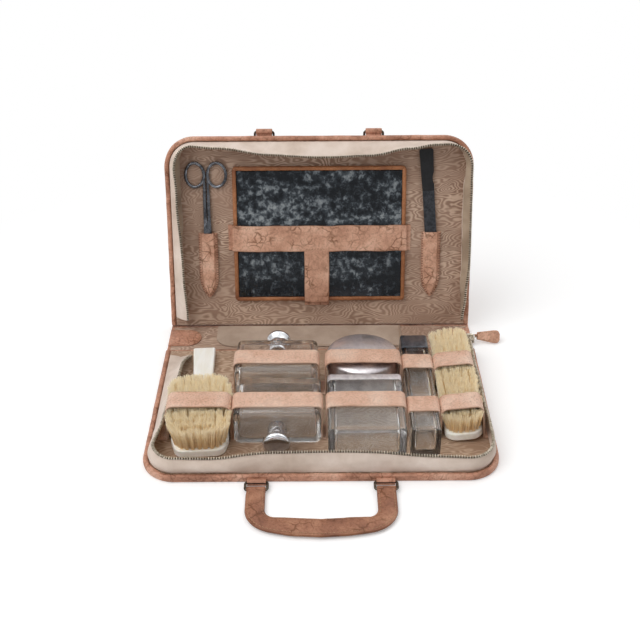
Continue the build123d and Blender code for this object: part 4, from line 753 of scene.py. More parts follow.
def silk_sheet(tray, seed):
    """Silk lining glued over the board, with the slack wrinkles of an old lining near its borders."""
    inset = RIM_WIDTH + 0.3
    rows = [(CASE_DEPTH - inset) * i / 70 for i in range(71)]
    upper, lower = [], []
    for depth in rows:
        half = tray_half_width(inset, depth)
        over, under = [], []
        for j in range(111):
            x = half * (j / 55 - 1)
            height = FLOOR - 0.12 + 0.1 * ripple(x, depth, 0, 14, seed)
            if tray == "lid":
                side = held((abs(x) - 98) / 8) * held((half - abs(x)) / 6)
                if x < 0:
                    pleat = ripple(x * 2.6, depth * 0.35, 0, 12, seed + 1)
                else:
                    pleat = ripple(x * 0.5, depth * 2, 0, 15, 4)
                height += side * (0.35 + 0.6 * pleat)
                for line, reach in LID_PLEATS:
                    stray = (x - line - 1.6 * ripple(0, depth, 0, 40, line)) / PLEAT_WIDTH
                    height += 0.75 * math.exp(-stray * stray) * held((reach - depth) / 20)
            over.append((x, depth, height))
            under.append((x, depth, BOARD_TOP))
        upper.append(over)
        lower.append(under)
    return blanket(upper, lower)


def wall_stations(slouch, sag, step=2.5):
    """Round a tray at the foot of its canvas wall: foot point, run so far, and directions up and across it."""
    route = tray_route(WALL_INSET, WALL_HINGE_ROOM, step)
    runs = [0.0]
    for a, b in zip(route, route[1:]):
        runs.append(runs[-1] + (b - a).length)
    stations = []
    for point, travel, run in zip(route, directions(route), runs):
        lean = eased(slouch, run / runs[-1])
        rise = math.sqrt(WALL_WIDTH**2 - lean**2) / WALL_WIDTH
        fall = lean / WALL_WIDTH
        inward = Vector((travel.y, -travel.x, 0))
        sunk = 1 - eased(sag, run / runs[-1]) / WALL_WIDTH
        up = (inward * fall + Vector((0, 0, rise))) * sunk
        across = inward * rise - Vector((0, 0, fall))
        stations.append((Vector((point.x, point.y, WALL_FOOT)), run, up, across))
    return stations


def zip_wave(run, seed):
    """How far the zip line strays across the wall."""
    return 0.5 * ripple(run, 0, 0, 34, seed)


def wall_fold(run, height, swell, seed):
    """How far the canvas bows inward at this height, from its soft folds and its belly."""
    share = min(height / WALL_WIDTH, 1.0)
    billow = math.sin(math.pi * share) ** 0.8 if 0 < share < 1 else 0.0
    fold = billow * (1.1 * ripple(run, height * 0.6, 0, 26, seed) + 0.5 * ripple(run, height, 0, 9, seed + 3))
    return fold + share * zip_wave(run, seed) - 0.7 * billow + swell * math.sin(math.pi * share**1.15)


def canvas_wall(slouch, sag, belly, seed):
    """Standing wall of twill, sewn in at its foot and drawn along its top by the zip, billowing between them."""
    half = 0.45
    heights = [WALL_WIDTH * k / 14 for k in range(15)]
    front, back, runs, rises = [], [], [], []
    stations = wall_stations(slouch, sag)
    for foot, run, up, across in stations:
        inside, outside = [], []
        swell = eased(belly, run / stations[-1][1])
        for height in heights:
            middle = foot + up * height + across * wall_fold(run, height, swell, seed)
            inside.append(middle + across * half)
            outside.append(middle - across * half)
            runs.append(run)
            rises.append(height)
        front.append(inside)
        back.append(outside)
    return blanket(front, back, run=runs * 2, rise=rises * 2)


def zip_edge(slouch, sag, belly, seed):
    """The woven tape inside the wall's top, and the cord along its edge that the teeth clamp, coloured near black as
    painted shade between and under the teeth.
    """
    tape_width, thin = 7.5, 0.35
    front, back, rings, runs, rises, cord_runs = [], [], [], [], [], []
    stations = wall_stations(slouch, sag)
    for foot, run, up, across in stations:
        stray = across * zip_wave(run, seed)
        swell = eased(belly, run / stations[-1][1])
        inside, outside = [], []
        for k in range(6):
            height = WALL_WIDTH + 0.4 - tape_width * (1 - k / 5)
            level = foot + up * height + across * wall_fold(run, height, swell, seed)
            inside.append(level + across * (0.75 + thin))
            outside.append(level + across * 0.3)
            runs.append(run)
            rises.append(height * 0.7)
        front.append(inside)
        back.append(outside)
        core = foot + up * (WALL_WIDTH + 0.55) + stray
        rings.append(oval(core, across, up, 1.0, 0.75, 8))
        cord_runs += [run] * 8
    tape = blanket(front, back, run=runs * 2, rise=rises * 2)
    return tape, swept(rings, run=cord_runs, rise=[0.0] * len(cord_runs))


# a tooth: half its length and width at each height, and the corners of its section as shares of these
TOOTH_LEVELS = ((0.0, 0.5, 1.3), (0.25, 0.6, 1.5), (1.1, 0.6, 1.5), (1.35, 0.45, 1.2), (1.9, 0.5, 1.05),
                (2.25, 0.3, 0.6))
TOOTH_SECTION = ((-1, -0.6), (-0.6, -1), (0.6, -1), (1, -0.6), (1, 0.6), (0.6, 1), (-0.6, 1), (-1, 0.6))


def zip_teeth(slouch, sag, seed):
    """Pressed brass teeth clamped over the corded edge: each has a waist and a rounded nose."""
    stations = wall_stations(slouch, sag)
    skins = []
    at = TOOTH_PITCH / 2
    for (foot, run, up, across), (foot_b, run_b, _, _) in zip(stations, stations[1:]):
        length = run_b - run
        while at < length:
            along = (foot_b - foot).normalized()
            rise = (up - along * up.dot(along)).normalized()
            side = along.cross(rise)
            base = foot + along * at + up * (WALL_WIDTH + 0.15) + across * zip_wave(run + at, seed)
            skins.append(swept([[base + along * (a * long) + side * (b * wide) + rise * height
                                 for a, b in TOOTH_SECTION] for height, long, wide in TOOTH_LEVELS]))
            at += TOOTH_PITCH
        at -= length
    return joined(skins)


def build_tray(tray, place, slouch, sag, belly, seed, silk):
    """One half of the case: leather, lining, canvas wall and its half of the zip."""
    piece(f"{tray}_leather", [(rolled_cover(seed).placed(place), case_hide)], tray,
          [f"{tray}_cover"])
    lining = piece(f"{tray}_silk_lining", [(silk_sheet(tray, seed).placed(place), silk)], tray,
                   [f"{tray}_lining"], crease=50)
    wall = piece(f"{tray}_canvas_wall", [(canvas_wall(slouch, sag, belly, seed).placed(place), canvas)], tray,
                 [f"{tray}_gusset"], crease=50)
    tape, cord = zip_edge(slouch, sag, belly, seed)
    # the cord's dark finish paints the shade between and under the teeth
    piece(f"{tray}_zip_tape", [(tape.placed(place), zip_tape), (cord.placed(place), cord_painted_shade)], tray,
          crease=50)
    piece(f"{tray}_zip_row", [(zip_teeth(slouch, sag, seed).placed(place), zip_brass)], tray,
          [f"{tray}_zip_teeth"], crease=30)


build_tray("base", IN_BASE, BASE_SLOUCH, BASE_SAG, BASE_BELLY, 1, base_silk)
build_tray("lid", IN_LID, LID_SLOUCH, LID_SAG, LID_BELLY, 2, lid_silk)

# ---------------------------------------------------------------- spine


def d_tab(side):
    """Leather tab of a zip end, square at the case's side and round towards the middle, sewn all round."""
    edge, reach, half = CASE_HALF - 0.2, 35.0, 15.5
    outline = [Vector((-edge, SPINE_MIDDLE - half)), Vector((-edge + reach - half, SPINE_MIDDLE - half))]
    outline += [Vector(p) for p in arc((-edge + reach - half, SPINE_MIDDLE), half, -82, 82, 20)]
    outline += [Vector((-edge + reach - half, SPINE_MIDDLE + half)), Vector((-edge, SPINE_MIDDLE + half))]
    outline = even(outline, 2.0, closed=True)
    tab = soft_slab(outline, 1.9, 3.2, 0.5)
    row = inset_ring(outline, 2.2)
    seam = sewn([p for p in row if p.x > -edge + 3], Matrix.Identity(4), 3.2)
    flip = Matrix.Scale(side, 4, (1, 0, 0))
    return tab.placed(flip), seam.placed(flip)


def spine():
    """Leather spine between the two folds, its silk and the tabs of the zip ends."""
    low, high = BASE_FOLD_Y - 0.9, LID_FOLD_Y + 0.9
    outline = rounded([(-CASE_HALF, low, 1), (CASE_HALF, low, 1), (CASE_HALF, high, 1), (-CASE_HALF, high, 1)],
                      closed=True, step=5)
    piece("spine_leather", [(soft_slab(outline, 0, 1.6, 0.4), case_hide)], "spine", ["spine_cover"])
    half, near, far = 161.5, BASE_FOLD_Y + 6.2, LID_FOLD_Y - 6.2
    upper, lower = [], []
    for i in range(25):
        y = near + (far - near) * i / 24
        xs = [half * (j / 60 - 1) for j in range(121)]
        upper.append([(x, y, 1.8 if abs(x) > 129 else 2.3 + 0.12 * ripple(x * 0.5, y * 2, 0, 12, 5)) for x in xs])
        lower.append([(x, y, 1.6) for x in xs])
    lining = piece("spine_silk", [(blanket(upper, lower), lid_silk)], "spine", ["spine_lining"], crease=50)
    tabs, seams = zip(d_tab(1), d_tab(-1))
    piece("zip_end_leathers", [(joined(tabs), case_hide), (joined(seams), thread)], "spine",
          ["zip_end_tabs"])


def hinge_flap():
    """Canvas flap sewn along the lid's fold; its free front edge and its round corner stand a little proud."""
    left, right, near, far, corner = -113.0, 89.0, 114.9, 156.9, 20.0
    upper, lower, runs, rises = [], [], [], []
    for i in range(22):
        y = near + (far - near) * i / 21
        short = corner - math.sqrt(max(corner**2 - max(corner - (y - near), 0) ** 2, 0))
        start = left + short
        over, under = [], []
        for j in range(81):
            x = start + (right - start) * j / 80
            lift = (1 - i / 21) ** 2 * (0.5 + 0.35 * ripple(x, y, 0, 24, 6))
            top = 3.3 + 0.15 * ripple(x, y, 0, 13, 7) + lift
            over.append((x, y, top))
            under.append((x, y, top - 0.75))
            runs.append(x)
            rises.append(y)
        upper.append(over)
        lower.append(under)
    hem = [Vector((x, y)) for x, y in ((left + corner, near + 1.8), (right - 1.8, near + 1.8), (right - 1.8, far))]
    seam = sewn(even(hem, 4.0), Matrix.Identity(4), 3.9, pitch=2.6, length=1.8, radius=0.22)
    flap = piece("canvas_flap", [(blanket(upper, lower, run=runs * 2, rise=rises * 2), flap_canvas),
                                 (seam, thread)], "spine", ["hinge_flap"], crease=50)


spine()
hinge_flap()

# ---------------------------------------------------------------- zip pull

PULL_PIVOT = (162.5, 125.8, 8.45)
LINK_LENGTH = 6.6


def zip_pull():
    """Leather paddle twisted on edge beside the case, creased, with its rolled eye on the wire link."""
    place = moved(PULL_PIVOT[0] + LINK_LENGTH, *PULL_PIVOT[1:])
    twist = place @ moved(0.9, 0, 0) @ turned(4, "Y") @ turned(52, "X")

    def width(share):
        shape = 8 + 6 * min(share / 0.72, 1)
        past = max(share - 0.86, 0) / 0.14
        return shape * math.sqrt(max(1 - 0.75 * past * past, 0.1))

    path = even([Vector((0, 0)), Vector((25, 0))], 0.8)
    lay = twist @ Matrix(((1, 0, 0, 0), (0, 0, 1, 0), (0, 1, 0, 0), (0, 0, 0, 1)))
    paddle = ribbon(path, lay, width, 1.6, seed=9, wave=0.12, stray=0)
    seam = joined(sewn([Vector((x, side * (2.9 + 0.12 * x))) for x in range(2, 23)], twist, 0.8, pitch=2.4, length=1.6,
                       radius=0.2) for side in (-1, 1))
    eye = roll(1.5, 0.6, 3.2, place @ turned(90, "Z"))
    piece("zip_pull_leather", [(paddle + eye, pocket_hide), (seam, thread)], "zip_pull",
          ["zip_pull_tab"])


zip_pull()

# ---------------------------------------------------------------- handles, rings and chapes

CHAPE_X = 58.25
EYE_RADIUS = 3.15
EYE_BORE = 1.5
EYE_WIDTH = 17.2
NECK_HALF = 8.4
RING_LENGTH = 10.5
FRONT_PIVOT = moved(0, -108, 3.2)


def lid_point(y, z):
    return ON_LID @ Vector((0, y, z))


rear_reach = FOLD_SETBACK + CASE_DEPTH + 4.0
rear_spot = lid_point(rear_reach, -2.0)
REAR_PIVOT = moved(0, rear_spot.y, rear_spot.z) @ turned(90, "X")


def tongue(x, low, high, low_corner, high_corner):
    """Outline of the leather that runs on from an eye."""
    left, right = x - NECK_HALF, x + NECK_HALF
    return rounded([(left, low, low_corner), (right, low, low_corner), (right, high, high_corner),
                    (left, high, high_corner)], closed=True)


def handle(name, body, place, seed):
    """Flat leather handle bowed at its grip: two layers over a filler, sewn along both edges."""
    leg_top, bow = -13.4, -54.0
    corners = [(-CHAPE_X, leg_top, 0), (-CHAPE_X, bow, 19.5), (0, -61.2, 160), (CHAPE_X, bow, 19.5),
               (CHAPE_X, leg_top, 0)]
    path = rounded(corners, step=2.0, bend=6)
    travels = directions(path)

    def half_width(point):
        tip = held((leg_top - point.y) / 4)
        grip = soft_step(held(1 - (abs(point.x) - 22) / 30)) if point.y < -40 else 0.0
        return 8.5 + 0.3 * tip + 2.0 * grip

    rings, edge = [], []
    for point, travel in zip(path, travels):
        side = Vector((-travel.y, travel.x))
        half = half_width(point)
        ring = []
        for across, height, dark in strip_section(2 * half, 2.6, crown=1.25):
            swell = 0.2 * ripple(point.x, point.y, across, 10, seed)
            spot = point + side * (across + 0.2 * ripple(point.x, point.y, 0, 18, seed))
            ring.append((spot.x, spot.y, height + math.copysign(swell, height)))
            edge.append(dark)
        rings.append(ring)
    body_skin = swept(rings, edge=edge)
    seams = []
    for side_sign in (-1, 1):
        for face in (-1, 1):
            route = [p + Vector((-t.y, t.x)) * side_sign * (half_width(p) - 2.3) for p, t in zip(path, travels)]
            up = Vector((0, 0, face))
            points = [Vector((p.x, p.y, face * 1.85)) for p in route]
            seams.append(stitches(points, [up] * len(points), pitch=3.4, length=2.3))
    eyes = []
    for x in (-CHAPE_X, CHAPE_X):
        spot = moved(x, -RING_LENGTH, 0)
        eyes.append(roll(EYE_RADIUS, EYE_BORE, EYE_WIDTH, spot))
        eyes.append(soft_slab(tongue(x, -14.6, -12.0, 1, 1), -2.0, 2.0, 0.8))
    layers = [(joined([body_skin, *eyes]).placed(place), handle_hide), (joined(seams).placed(place), thread)]
    piece(name + "_leather", layers, body, [name])


handle("front_handle", "front_handle", FRONT_PIVOT, 11)
handle("rear_handle", "rear_handle", REAR_PIVOT, 12)


def chapes():
    """Leather loops that carry the rings: under the front rim of the base, and on the lid's outer face."""
    loops, seams = [], []
    for x in (-CHAPE_X, CHAPE_X):
        spot = FRONT_PIVOT @ moved(x, 0, 0)
        loops.append(roll(EYE_RADIUS, EYE_BORE, EYE_WIDTH, spot, -150, 150))
        loops.append(soft_slab(tongue(x, -106.4, -103.2, 1, 1), 1.9, 4.5, 0.6))
        seams.append(sewn([Vector((x - 5.5, -105.0)), Vector((x + 5.5, -105.0))], Matrix.Identity(4), 4.5, pitch=2.4,
                          length=1.6))
    piece("front_chape_leathers", [(joined(loops), case_hide), (joined(seams), thread)], "base",
          ["front_chapes"])
    loops, seams = [], []
    outside = ON_LID @ turned(180, "Y")
    for x in (-CHAPE_X, CHAPE_X):
        loops.append(roll(EYE_RADIUS, EYE_BORE, EYE_WIDTH, ON_LID @ moved(x, rear_reach, -2.0)))
        low, high = rear_reach - 17.0, rear_reach - 1.6
        loops.append(soft_slab(tongue(x, low, high, 3, 0.5), -1.4, -0.05, 0.4).placed(ON_LID))
        around = [(-x - 5, high - 2), (-x - 5, low + 2), (-x + 5, low + 2), (-x + 5, high - 2)]
        seams.append(sewn(even([Vector(p) for p in around], 3), outside, 1.4, pitch=2.6, length=1.8))
    piece("rear_chape_leathers", [(joined(loops), case_hide), (joined(seams), thread)], "lid",
          ["rear_chapes"])


chapes()

# ---------------------------------------------------------------- straps over the fittings


def strap_lay(y):
    """Places (along X, up, across) at a strap's middle line; across runs towards the viewer."""
    return Matrix(((1, 0, 0, 0), (0, 0, -1, y), (0, 1, 0, 0), (0, 0, 0, 1)))


FLOOR_LINE = FLOOR + STRAP / 2
# (x, height, corner radius) where both straps run over the tube and the clothes brush to their right end
OVER_TUBE_AND_BRUSH = [(81.3, 38.1, 3.6), (111.5, 38.1, 3.6), (111.5, FLOOR_LINE, 0.85), (113.2, FLOOR_LINE, 0.85),
                       (113.2, 38.9, 6.1), (151.2, 42.7, 6.1), (154.5, 9.8, 2.0), (154.5, FLOOR_LINE, 1.0),
                       (158.2, FLOOR_LINE, 0)]


def base_straps():
    """Two long straps, looped over each fitting and sewn to the floor between them."""
    front = [(-154.3, FLOOR_LINE, 0), (-144.6, FLOOR_LINE, 1.5), (-144.6, 44.6, 7.1), (-84.4, 44.6, 7.1),
             (-84.4, FLOOR_LINE, 0.85), (-82.7, FLOOR_LINE, 0.85), (-82.7, 44.1, 5.1), (1.5, 44.1, 5.1),
             (1.5, FLOOR_LINE, 1.5), (5.4, FLOOR_LINE, 1.5), (5.4, 44.1, 5.1), (79.6, 44.1, 5.1),
             (79.6, FLOOR_LINE, 0.85), (81.3, FLOOR_LINE, 0.85)]
    rear = [(-85.7, FLOOR + 0.1, 0), (-85.7, 44.1, 5.1), (-1.5, 44.1, 5.1),
            (-1.5, FLOOR_LINE, 1.5), (5.1, FLOOR_LINE, 1.5), (5.1, 44.5, 6.1), (79.9, 44.5, 6.1),
            (79.9, FLOOR_LINE, 0.85), (81.3, FLOOR_LINE, 0.85)]
    for name, corners, foot_x, y, seed in (("front_strap", front, -152.3, FRONT_STRAP_Y, 21),
                                           ("rear_strap", rear, 156.5, REAR_STRAP_Y, 22)):
        path = rounded(corners + OVER_TUBE_AND_BRUSH, step=2.5, bend=15)
        band = ribbon(path, strap_lay(y), STRAP_WIDTH, STRAP, seed, wave=0.16, stray=0.5)
        foot = [Vector((foot_x, y + s)) for s in (-9, 9)]
        seam = sewn(even(foot, 4), Matrix.Identity(4), FLOOR + STRAP, pitch=2.8, length=1.9)
        piece(name + "_leather", [(band, strap_hide), (seam, thread)], "base", [name])


base_straps()

# ---------------------------------------------------------------- mirror, its strap and the pockets

MIRROR_HALF = 93.0
MIRROR_LOW = 30.0
MIRROR_HIGH = 178.0
MIRROR_TOP = 10.8
STRAP_OVER_MIRROR = 11.9


def mirror_frame():
    """Leather-covered tray of the mirror: a thin back and a narrow rounded border."""
    border, back, low = 4.2, 1.4, ITEM_Z
    middle = border / 2
    corners = [(-MIRROR_HALF + middle, MIRROR_LOW + middle), (MIRROR_HALF - middle, MIRROR_LOW + middle),
               (MIRROR_HALF - middle, MIRROR_HIGH - middle), (-MIRROR_HALF + middle, MIRROR_HIGH - middle)]
    path = rounded([(x, u, 2.2) for x, u in corners], closed=True, step=4, bend=15)
    section = [(-2.1, low), (-2.1, 9.6), (-1.8, 10.4), (-1.1, MIRROR_TOP), (0.9, MIRROR_TOP), (1.7, 10.3), (2.1, 9.6),
               (2.1, low)]
    rings = []
    for point, travel in zip(path, directions(path, closed=True)):
        side = Vector((travel.y, -travel.x))
        ring = []
        for out, height in section:
            spot = point + side * (out + 0.12 * ripple(point.x, point.y, height, 12, 31))
            ring.append((spot.x, spot.y, height + 0.1 * ripple(point.x, point.y, 0, 9, 32) * (height > 8)))
        rings.append(ring)
    border_skin = swept(rings, closed=True)
    plate = slab(rounded([(x, u, 2) for x, u in corners], closed=True), [(low, 0), (low + back - 0.05, 0)])
    piece("mirror_frame_leather", [((border_skin + plate).placed(ON_LID), frame_hide)], "mirror",
          ["mirror_frame"])


def mirror_strap():
    """T-shaped strap: a band across the mirror and a short one down under its lower edge, sewn where they meet."""
    middle, half = 100.25, 14.25
    top, foot, side = STRAP_OVER_MIRROR, 6.5, 94.1
    across = rounded([(-98.8, foot, 0), (-side, foot, 0.8), (-side, top, 1.4), (side, top, 1.4), (side, foot, 0.8),
                      (98.8, foot, 0)], step=2.5, bend=15)
    lay = ON_LID @ Matrix(((1, 0, 0, 0), (0, 0, -1, middle), (0, 1, 0, 0), (0, 0, 0, 1)))
    band = ribbon(across, lay, 2 * half, STRAP, 33, wave=0.22, stray=0.6)
    down = rounded([(24.2, foot, 0), (28.9, foot, 0.8), (28.9, top, 1.4), (middle - half + 0.4, top, 0)], step=2.5,
                   bend=15)
    lay = ON_LID @ Matrix(((0, 0, 1, -3.5), (1, 0, 0, 0), (0, 1, 0, 0), (0, 0, 0, 1)))
    prop = ribbon(down, lay, 27.0, STRAP, 34, wave=0.22, stray=0.5)
    seam = sewn([Vector((x, middle - half + 2.6)) for x in range(-16, 11, 3)], ON_LID, top + STRAP / 2)
    piece("mirror_strap_leather", [(band + prop, pocket_hide), (seam, thread)], "lid",
          ["mirror_strap"])


SHEATH_X = 121.05
WHIP_PITCH = 2.8


def pocket(name, x, inside, seed):
    """Leather pocket with an arched lower end, whipped along both edges: its front bulges over what it holds."""
    half, mouth, shoulder, tip, skin, seam_width = 10.25, 106.0, 58.0, 34.0, 1.2, 2.4
    height = FLOOR + 2 * skin + inside

    def width(u):
        fall = held((shoulder - u) / (shoulder - tip))
        return max(half * (1 - fall**2.2) ** 0.8, 0.8)

    levels = [tip + (mouth - tip) * i / 40 for i in range(41)]
    upper, lower, edges = [], [], []
    for u in levels:
        over, under = [], []
        for j in range(21):
            share = j / 10 - 1
            wide = width(u)
            across = share * wide
            room = max(wide - abs(across) - seam_width * 0.7, 0)
            swell = soft_step(min(room / 2.6, 1))
            low = FLOOR + skin
            top = low + skin + (height - low - skin) * swell
            top += 0.16 * ripple(across, u, 0, 7, seed)
            over.append((across, u, top))
            under.append((across, u, max(top - skin, low)))
            edges.append(max(0.0, abs(share) * 6 - 5))
        upper.append(over)
        lower.append(under)
    front = blanket(upper, lower, edge=edges * 2)
    left = [Vector((-width(u), u)) for u in reversed(levels)]
    outline = left + [Vector((-p.x, p.y)) for p in reversed(left)]
    back = slab(outline, [(FLOOR, 0.2), (FLOOR + 0.2, 0), (FLOOR + skin, 0)])
    rows = []
    up = ON_LID.to_3x3() @ Vector((0, 0, 1))
    for side in (-1, 1):
        edge_line = even([Vector((side * width(u), u)) for u in levels[1:]], 0.6)
        gone = 2.0
        for p, q in zip(edge_line, edge_line[1:]):
            gone += (q - p).length
            if gone < WHIP_PITCH:
                continue
            gone -= WHIP_PITCH
            inward = Vector((p.y - q.y, q.x - p.x)).normalized() * side
            ends = [p - inward * 0.2, p + inward * 2.2]
            lay = ON_LID @ moved(x, 0, FLOOR + 2 * skin + 0.1)
            rows.append(stitches([lay @ e.to_3d() for e in ends], [up], pitch=2.4, length=2.2, radius=0.36))
    place = ON_LID @ moved(x, 0, 0)
    piece(name + "_leather", [((front + back).placed(place), pocket_hide), (joined(rows), whip_thread)], "lid",
          [name])


mirror_frame()
mirror_strap()
pocket("scissors_sheath", -SHEATH_X, 3.8, 41)
pocket("nail_file_sheath", SHEATH_X, 2.4, 42)


# ---------------------------------------------------------------- scissors


def scissors_half(name, body, layer):
    """One forged half: an oval bow of round wire, a slim shank, a lobe at the screw and a tapering blade."""
    side = -1 if layer == 0 else 1
    centre = Vector((side * 11.7, 60.4))
    rings = []
    for k in range(56):
        angle = 2 * math.pi * k / 56
        spoke = Vector((math.cos(angle), math.sin(angle)))
        spot = centre + Vector((spoke.x * 9.8, spoke.y * 12.8))
        ring = []
        for m in range(12):
            turn = 2 * math.pi * m / 12
            wide = 1.7 * math.cos(turn)
            ring.append((spot.x + spoke.x * wide, spot.y + spoke.y * wide, 1.55 + 1.5 * math.sin(turn)))
        rings.append(ring)
    bow = swept(rings, closed=True)
    low = layer * 1.6
    stations = [(56.0, side * 1.7, 1.1, 1.55, 1.2), (50, side * 1.9, 1.4, 1.55, 1.45),
                (40, side * 2.05, 1.7, 1.55, 1.5), (22, side * 2.05, 1.8, 1.55, 1.5),
                (11, side * 2.1, 1.85, 1.55, 1.5), (6.5, side * 1.4, 2.7, low + 0.75, 0.75),
                (3.5, side * 0.4, 3.8, low + 0.75, 0.75),
                (0, 0, 4.3, low + 0.75, 0.75), (-4, -side * 0.2, 4.1, low + 0.75, 0.75),
                (-8, -side * 0.9, 3.3, low + 0.75, 0.72), (-34, -side * 0.5, 2.0, low + 0.75, 0.6),
                (-60, 0, 0.5, low + 0.75, 0.4)]
    rings = []
    for y, x, wide, middle, thick in stations:
        ring = []
        for m in range(16):
            turn = 2 * math.pi * m / 16
            c, s = (math.copysign(abs(v) ** 0.6, v) for v in (math.cos(turn), math.sin(turn)))
            ring.append((x + wide * c, y, middle + thick * s))
        rings.append(ring)
    place = ON_LID @ moved(-SHEATH_X, 109.0, 7.3)
    piece(name + "_steel", [((bow + swept(rings)).placed(place), tool_steel)], body, [name])


scissors_half("scissors_left_half", "scissors", 0)
scissors_half("scissors_right_half", "scissors_right", 1)

# ---------------------------------------------------------------- glass and metal fittings


def soft_ring(half_x, half_z, radius, y, parts=7):
    """A ring round the Y axis: a rectangle with round corners, down to a circle."""
    radius = min(radius, half_x, half_z)
    ring = []
    for quarter, (sx, sz) in enumerate(((1, 1), (-1, 1), (-1, -1), (1, -1))):
        centre, start = (sx * (half_x - radius), sz * (half_z - radius)), 90 * quarter
        ring += [(a, y, b) for a, b in arc(centre, radius, start, start + 90, parts)]
    return ring


def block_rings(half_x, half_z, radius, edge, start, end, inset=0.0):
    """Rings of a block from y = start to y = end, rounded over an edge radius at its start."""
    way = math.copysign(1, end - start)
    rings = []
    for angle in (0, 22, 45, 67, 90):
        drawn = inset + edge * (1 - math.sin(math.radians(angle)))
        y = start + way * edge * (1 - math.cos(math.radians(angle)))
        rings.append(soft_ring(half_x - drawn, half_z - drawn, max(radius - drawn, edge * 0.4), y))
    return rings


# how far the shoulder of a bottle stands past its neck's seat, as the photograph shows it
SHOULDER = 6.0
# half the thickness of the bottles and the jar, which lie on the floor
BLOCK_HALF = 18.5
BLOCK_Z = ITEM_Z + BLOCK_HALF


def bottle(name, body, place):
    """Squat pressed bottle with thick walls, a heavier base, and a turned neck."""
    width, height, thick, wall, base = 41.0, 51.0, BLOCK_HALF, 4.0, 7.0
    face = SHOULDER
    deep = face - wall
    outer = block_rings(width, thick, 6.0, 3.0, -height, face)
    outer += list(reversed(block_rings(width, thick, 6.0, 3.0, face, -height)))
    neck = [soft_ring(r, r, r, y) for r, y in ((8.6, face), (7.4, face + 0.5), (6.9, face + 1.6), (6.9, 12.2),
                                               (6.3, 12.9), (5.2, 12.9), (4.6, 12.3), (4.6, deep + 1.6),
                                               (5.4, deep + 0.4), (7.0, deep))]
    inner = block_rings(width - wall, thick - wall, 5.0, 3.4, deep, -height)
    inner += list(reversed(block_rings(width - wall, thick - wall, 5.0, 3.4, base - height, deep)))
    piece(name + "_glass", [(swept(outer + neck + inner).placed(place), glass)], body, [name])


def bottle_cap(name, body, place):
    """Turned and plated cap: a straight skirt that flares like a trumpet into a wide, slightly domed head."""
    bore, skirt, head, length, depth = 7.2, 9.0, 12.8, 33.2, 14.5
    foot = SHOULDER + 0.2
    profile = [(0.4, depth), (bore, depth), (bore, foot + 0.3), (bore + 0.3, foot), (skirt - 0.35, foot),
               (skirt, foot + 0.4), (skirt, 21.5), (skirt + 0.15, 23.5), (9.8, 25.6), (10.9, 27.4), (12.1, 28.7),
               (12.6, 29.3)]
    profile += [(head, 30.0), (head + 0.05, 31.0), (head - 0.1, 32.1), (head - 0.6, 32.8), (head - 1.4, length)]
    profile += [(8.0, length + 0.1), (4.0, length + 0.15), (0.4, length + 0.15)]
    upright = place @ turned(-90, "X")
    piece(name + "_metal", [(spun(profile).placed(upright), chrome_plate)], body, [name], crease=50)


FRONT_BOTTLE = moved(-40.6, -50, BLOCK_Z) @ turned(180, "Z")
REAR_BOTTLE = moved(-43.6, 62, BLOCK_Z)
bottle("front_bottle", "front_bottle", FRONT_BOTTLE)
bottle("rear_bottle", "rear_bottle", REAR_BOTTLE)
bottle_cap("front_bottle_cap", "front_cap", FRONT_BOTTLE)
bottle_cap("rear_bottle_cap", "rear_cap", REAR_BOTTLE)


def glass_box(name, body, place, width, thick, length, wall, base, lid_length, edge):
    """Open pressed glass box with a stepped neck for its slip lid."""
    step, mouth = 1.5, -1.8
    outer = block_rings(width, thick, edge, edge / 2, -length, 0)
    outer += list(reversed(block_rings(width, thick, edge, edge / 2, -lid_length, -length)))
    neck = [soft_ring(width - step, thick - step, edge - step, y) for y in (-lid_length, mouth - 0.6)]
    neck += [soft_ring(width - step - 0.6, thick - step - 0.6, edge - step, mouth)]
    thin = wall + step
    neck += [soft_ring(width - thin + 0.5, thick - thin + 0.5, edge * 0.7, mouth)]
    neck += [soft_ring(width - thin, thick - thin, edge * 0.7, mouth - 0.6)]
    bowl = list(reversed(block_rings(width - thin, thick - thin, edge, edge, base - length, 0)))
    piece(name + "_glass", [(swept(outer + neck + bowl).placed(place), glass)], body, [name])


def slip_lid(name, body, place, width, thick, lid_length, edge, finish):
    """Pressed lid with a rounded top edge and a rolled lip at its open end."""
    sheet = 0.8
    end = 0.2 - lid_length
    inner = block_rings(width - sheet, thick - sheet, edge - sheet, edge / 3, -sheet, end)
    lip = [soft_ring(width - sheet, thick - sheet, edge - sheet, end + 0.3),
           soft_ring(width - sheet / 2, thick - sheet / 2, edge, end),
           soft_ring(width, thick, edge, end + 0.3)]
    outer = list(reversed(block_rings(width, thick, edge, edge / 2, 0, end)))
    piece(name + "_metal", [(swept(inner + lip + outer).placed(place), finish)], body, [name], crease=50)


JAR = moved(42.5, 5.8, BLOCK_Z)
TUBE = moved(96.4, 84, 21.5)
glass_box("jar", "jar", JAR, 36.0, BLOCK_HALF, 89.0, 4.5, 7.0, 10.0, 4.0)
slip_lid("jar_lid", "jar_lid", JAR, 36.0, BLOCK_HALF, 10.0, 4.0, silver_plate)
glass_box("toothbrush_tube", "tube", TUBE, 14.0, 15.5, 160.0, 2.6, 6.0, 23.0, 3.0)
slip_lid("toothbrush_tube_lid", "tube_lid", TUBE, 14.0, 15.5, 23.0, 3.0, dark_plate)


def cap_curve(radius, low, high, parts=14):
    """Points of a shallow spherical cap from its rim to its crown."""
    rise = high - low
    sphere = (radius * radius + rise * rise) / (2 * rise)
    radii = [radius * (1 - k / parts) for k in range(parts)] + [0.4]
    return [(r, high - sphere + math.sqrt(sphere * sphere - r * r)) for r in radii]


